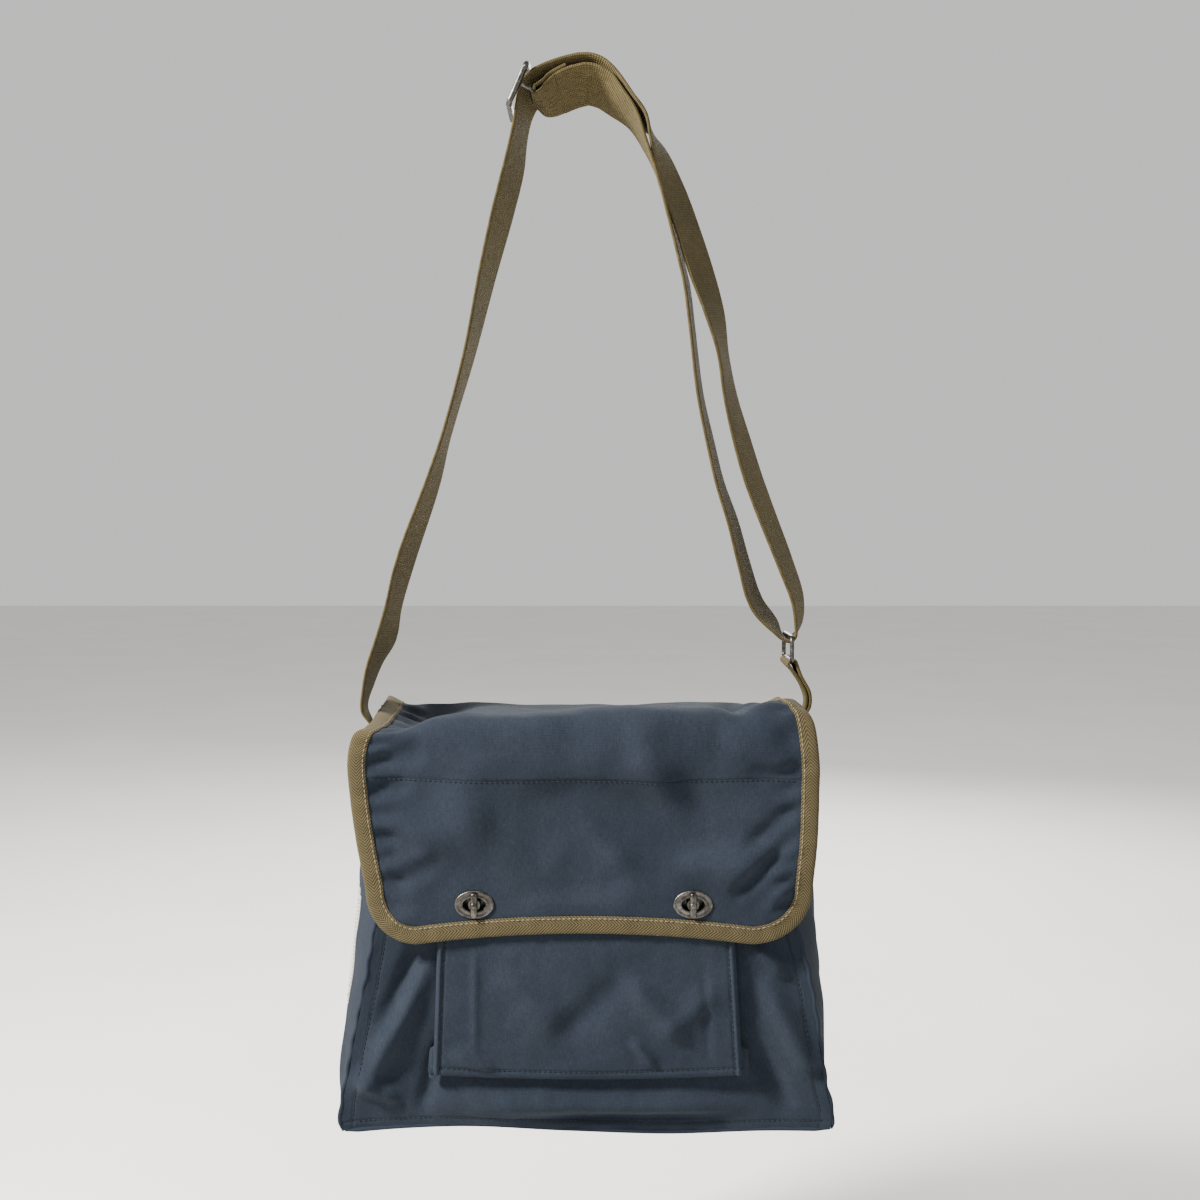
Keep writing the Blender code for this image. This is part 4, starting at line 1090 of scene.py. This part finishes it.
def make_tab():
    """The doubled tab: up the side, over the ring's lower bar and back down on itself."""
    eye = Vector(((RING_LOW.x + RING_HIGH.x) / 2, 0.0, RING_LOW.z + 0.0015))
    turns = np.radians(np.linspace(200, 20, 9))
    arc = [(eye.x + 0.0031 * math.cos(turn), eye.z + 0.0031 * math.sin(turn), 0) for turn in turns]
    inner = [(foot_x(1, z, 0.0015), z, FOOT_TWIST) for z in (FOOT_BOTTOM_Z, -0.505, -0.49, -0.478)]
    inner += [(0.1632, -0.464, 8), (0.1622, -0.454, 4), (0.1548, -0.4405, 2)]
    outer = [(0.1576, -0.4395, -2), (0.1652, -0.4535, -4), (0.1662, -0.464, -8)]
    outer += [(foot_x(1, z, 0.0043), z, -FOOT_TWIST) for z in (-0.478, -0.49, -0.505, FOOT_BOTTOM_Z)]
    tab = ribbon("ring_tab", tuple(inner + arc + outer), 220)
    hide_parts("tab_loop", "tab_patch_right")
    foot_stitches("tab_foot_stitches", 1, 0.0058)
    return tab


def rounded_box(half_y, half_along, corner, count=10):
    """A closed path round a rectangle with round corners, as (across, along) pairs."""
    path = []
    for sign_y, sign_a, start in ((1, 1, 0), (-1, 1, 90), (-1, -1, 180), (1, -1, 270)):
        for turn in np.radians(np.linspace(start, start + 90, count)):
            path.append((sign_y * (half_y - corner) + corner * math.cos(turn),
                         sign_a * (half_along - corner) + corner * math.sin(turn)))
    return np.array(path)


def make_ring():
    middle = (RING_LOW + RING_HIGH) / 2
    half_y, half_z = (RING_HIGH.y - RING_LOW.y) / 2 - 0.0015, (RING_HIGH.z - RING_LOW.z) / 2 - 0.0015
    outline = rounded_box(half_y, half_z, 0.0035)
    path = places(np.full(len(outline), middle.x), outline[:, 0], middle.z + outline[:, 1])
    dress(tube("wire_ring", path, RING_WIRE, NICKEL, closed=True), "ring", "antique_nickel", "ring")


def make_slider():
    """The slider on the left strand: a wire frame on the outside and a staple round the inside."""
    low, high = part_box("slider_frame")
    centre = np.array((low + high)) / 2
    along = unit(np.array((0.014, 0.0, 0.0305)))
    out = np.array((-along[2], 0.0, along[0]))
    side = np.array((0.0, 1.0, 0.0))
    outline = rounded_box((high.y - low.y) / 2 - 0.0013, 0.0155, 0.0036)
    path = centre + out * 0.003 + side * outline[:, :1] + along * outline[:, 1:]
    wire = tube("slider_wire_frame", path, FRAME_WIRE, NICKEL, closed=True)
    dress(wire, "slider", "antique_nickel", "slider_frame")
    low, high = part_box("slider_bar")
    reach = (high.y - low.y) / 2 - 0.0013
    drop = centre - out * 0.0083
    points = [centre - side * reach, drop - side * reach + out * 0.0025, drop - side * (reach - 0.0025),
              drop + side * (reach - 0.0025), drop + side * reach + out * 0.0025, centre + side * reach]
    path = resample(np.array(points), 60)
    bar = tube("slider_middle_bar", path, BAR_WIRE, NICKEL)
    dress(bar, "slider", "antique_nickel", "slider_bar")


def make_strap_end():
    """The webbing's sewn end, folded round the slider's middle bar, on its way to the run under the hook."""
    bar_x, bar_z = MIDDLE_BAR
    upper = ((-0.0112, -0.0087, -34), (-0.02, -0.0124, -31), (-0.029, -0.0152, -20))
    lower = ((-0.03, -0.0208, 19), (-0.0193, -0.0155, 31))
    turns = np.radians(np.linspace(75, 290, 9))
    arc = [(bar_x + 0.003 * math.cos(turn), bar_z + 0.003 * math.sin(turn), 0) for turn in turns]
    piece = ribbon("strap_sewn_end", upper + tuple(arc) + lower, 110)
    dress(piece, "slider", "webbing", "strap_end_loop")


# ---- stage


def make_camera():
    data = bpy.data.cameras.new("camera")
    data.lens = 39.87
    data.sensor_width = 36
    camera = bpy.data.objects.new("camera", data)
    camera.location = (0.0095, -0.99, -0.325)
    camera.rotation_euler = (math.radians(86.5), 0, 0)
    bpy.context.scene.collection.objects.link(camera)
    bpy.context.scene.camera = camera


def area_light(name, place, target, size, watts, colour):
    data = bpy.data.lights.new(name, "AREA")
    data.shape = "DISK"
    data.size = size
    data.energy = watts
    data.color = colour
    light = bpy.data.objects.new(name, data)
    light.location = place
    light.rotation_euler = (Vector(target) - Vector(place)).to_track_quat("-Z", "Y").to_euler()
    bpy.context.scene.collection.objects.link(light)


def make_stage():
    middle = (0.0, 0.0, -0.42)
    area_light("key", (-1.45, -0.78, 0.8), middle, 0.4, 205, (1.0, 0.97, 0.93))
    area_light("fill", (1.6, -1.0, 0.1), middle, 1.4, 9, (0.94, 0.97, 1.0))
    area_light("back", (0.5, 1.8, 0.5), middle, 1.4, 60, (1.0, 0.98, 0.96))
    world = bpy.data.worlds.new("pale_room")
    world.use_nodes = True
    world.node_tree.nodes["Background"].inputs[0].default_value = (0.9, 0.9, 0.89, 1.0)
    world.node_tree.nodes["Background"].inputs[1].default_value = 0.82
    bpy.context.scene.world = world
    half, floor_z = 9.0, -0.98
    corners = [(-half, -half, floor_z), (half, -half, floor_z), (half, half, floor_z), (-half, half, floor_z)]
    shade = Shade("pale_floor")
    grain = shade.noise(shade.object_place((3, 3, 3)), 3.0)
    shade.finish(shade.ramp(grain, ((0.2, (0.74, 0.73, 0.71)), (0.8, (0.8, 0.79, 0.77)))), 0.85)
    mesh = bpy.data.meshes.new("floor")
    mesh.from_pydata(corners, [], [(0, 1, 2, 3)])
    mesh.materials.append(shade.material)
    floor = bpy.data.objects.new("floor", mesh)
    bpy.context.scene.collection.objects.link(floor)


def finish_metal_nodes():
    """The lock parts that stay as the frame has them take the metal finish."""
    for name in ("turnlock_backplate", "turnlock_base", "turnlock_washer"):
        for word in LOCKS:
            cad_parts[name + "_" + word].material_slots[0].material = NICKEL


def main():
    make_camera()
    make_front()
    make_gussets()
    make_back()
    make_bottom()
    make_seams()
    make_label()
    make_pocket()
    flap = make_flap()
    bend_over_fold([flap] + make_flap_tape())
    for word, lock in LOCKS.items():
        make_eyelet(word, lock)
        make_bar(word, lock)
    bend_at_bag([make_strap(), make_tab()])
    make_ring()
    make_slider()
    make_strap_end()
    finish_metal_nodes()
    make_stage()


main()
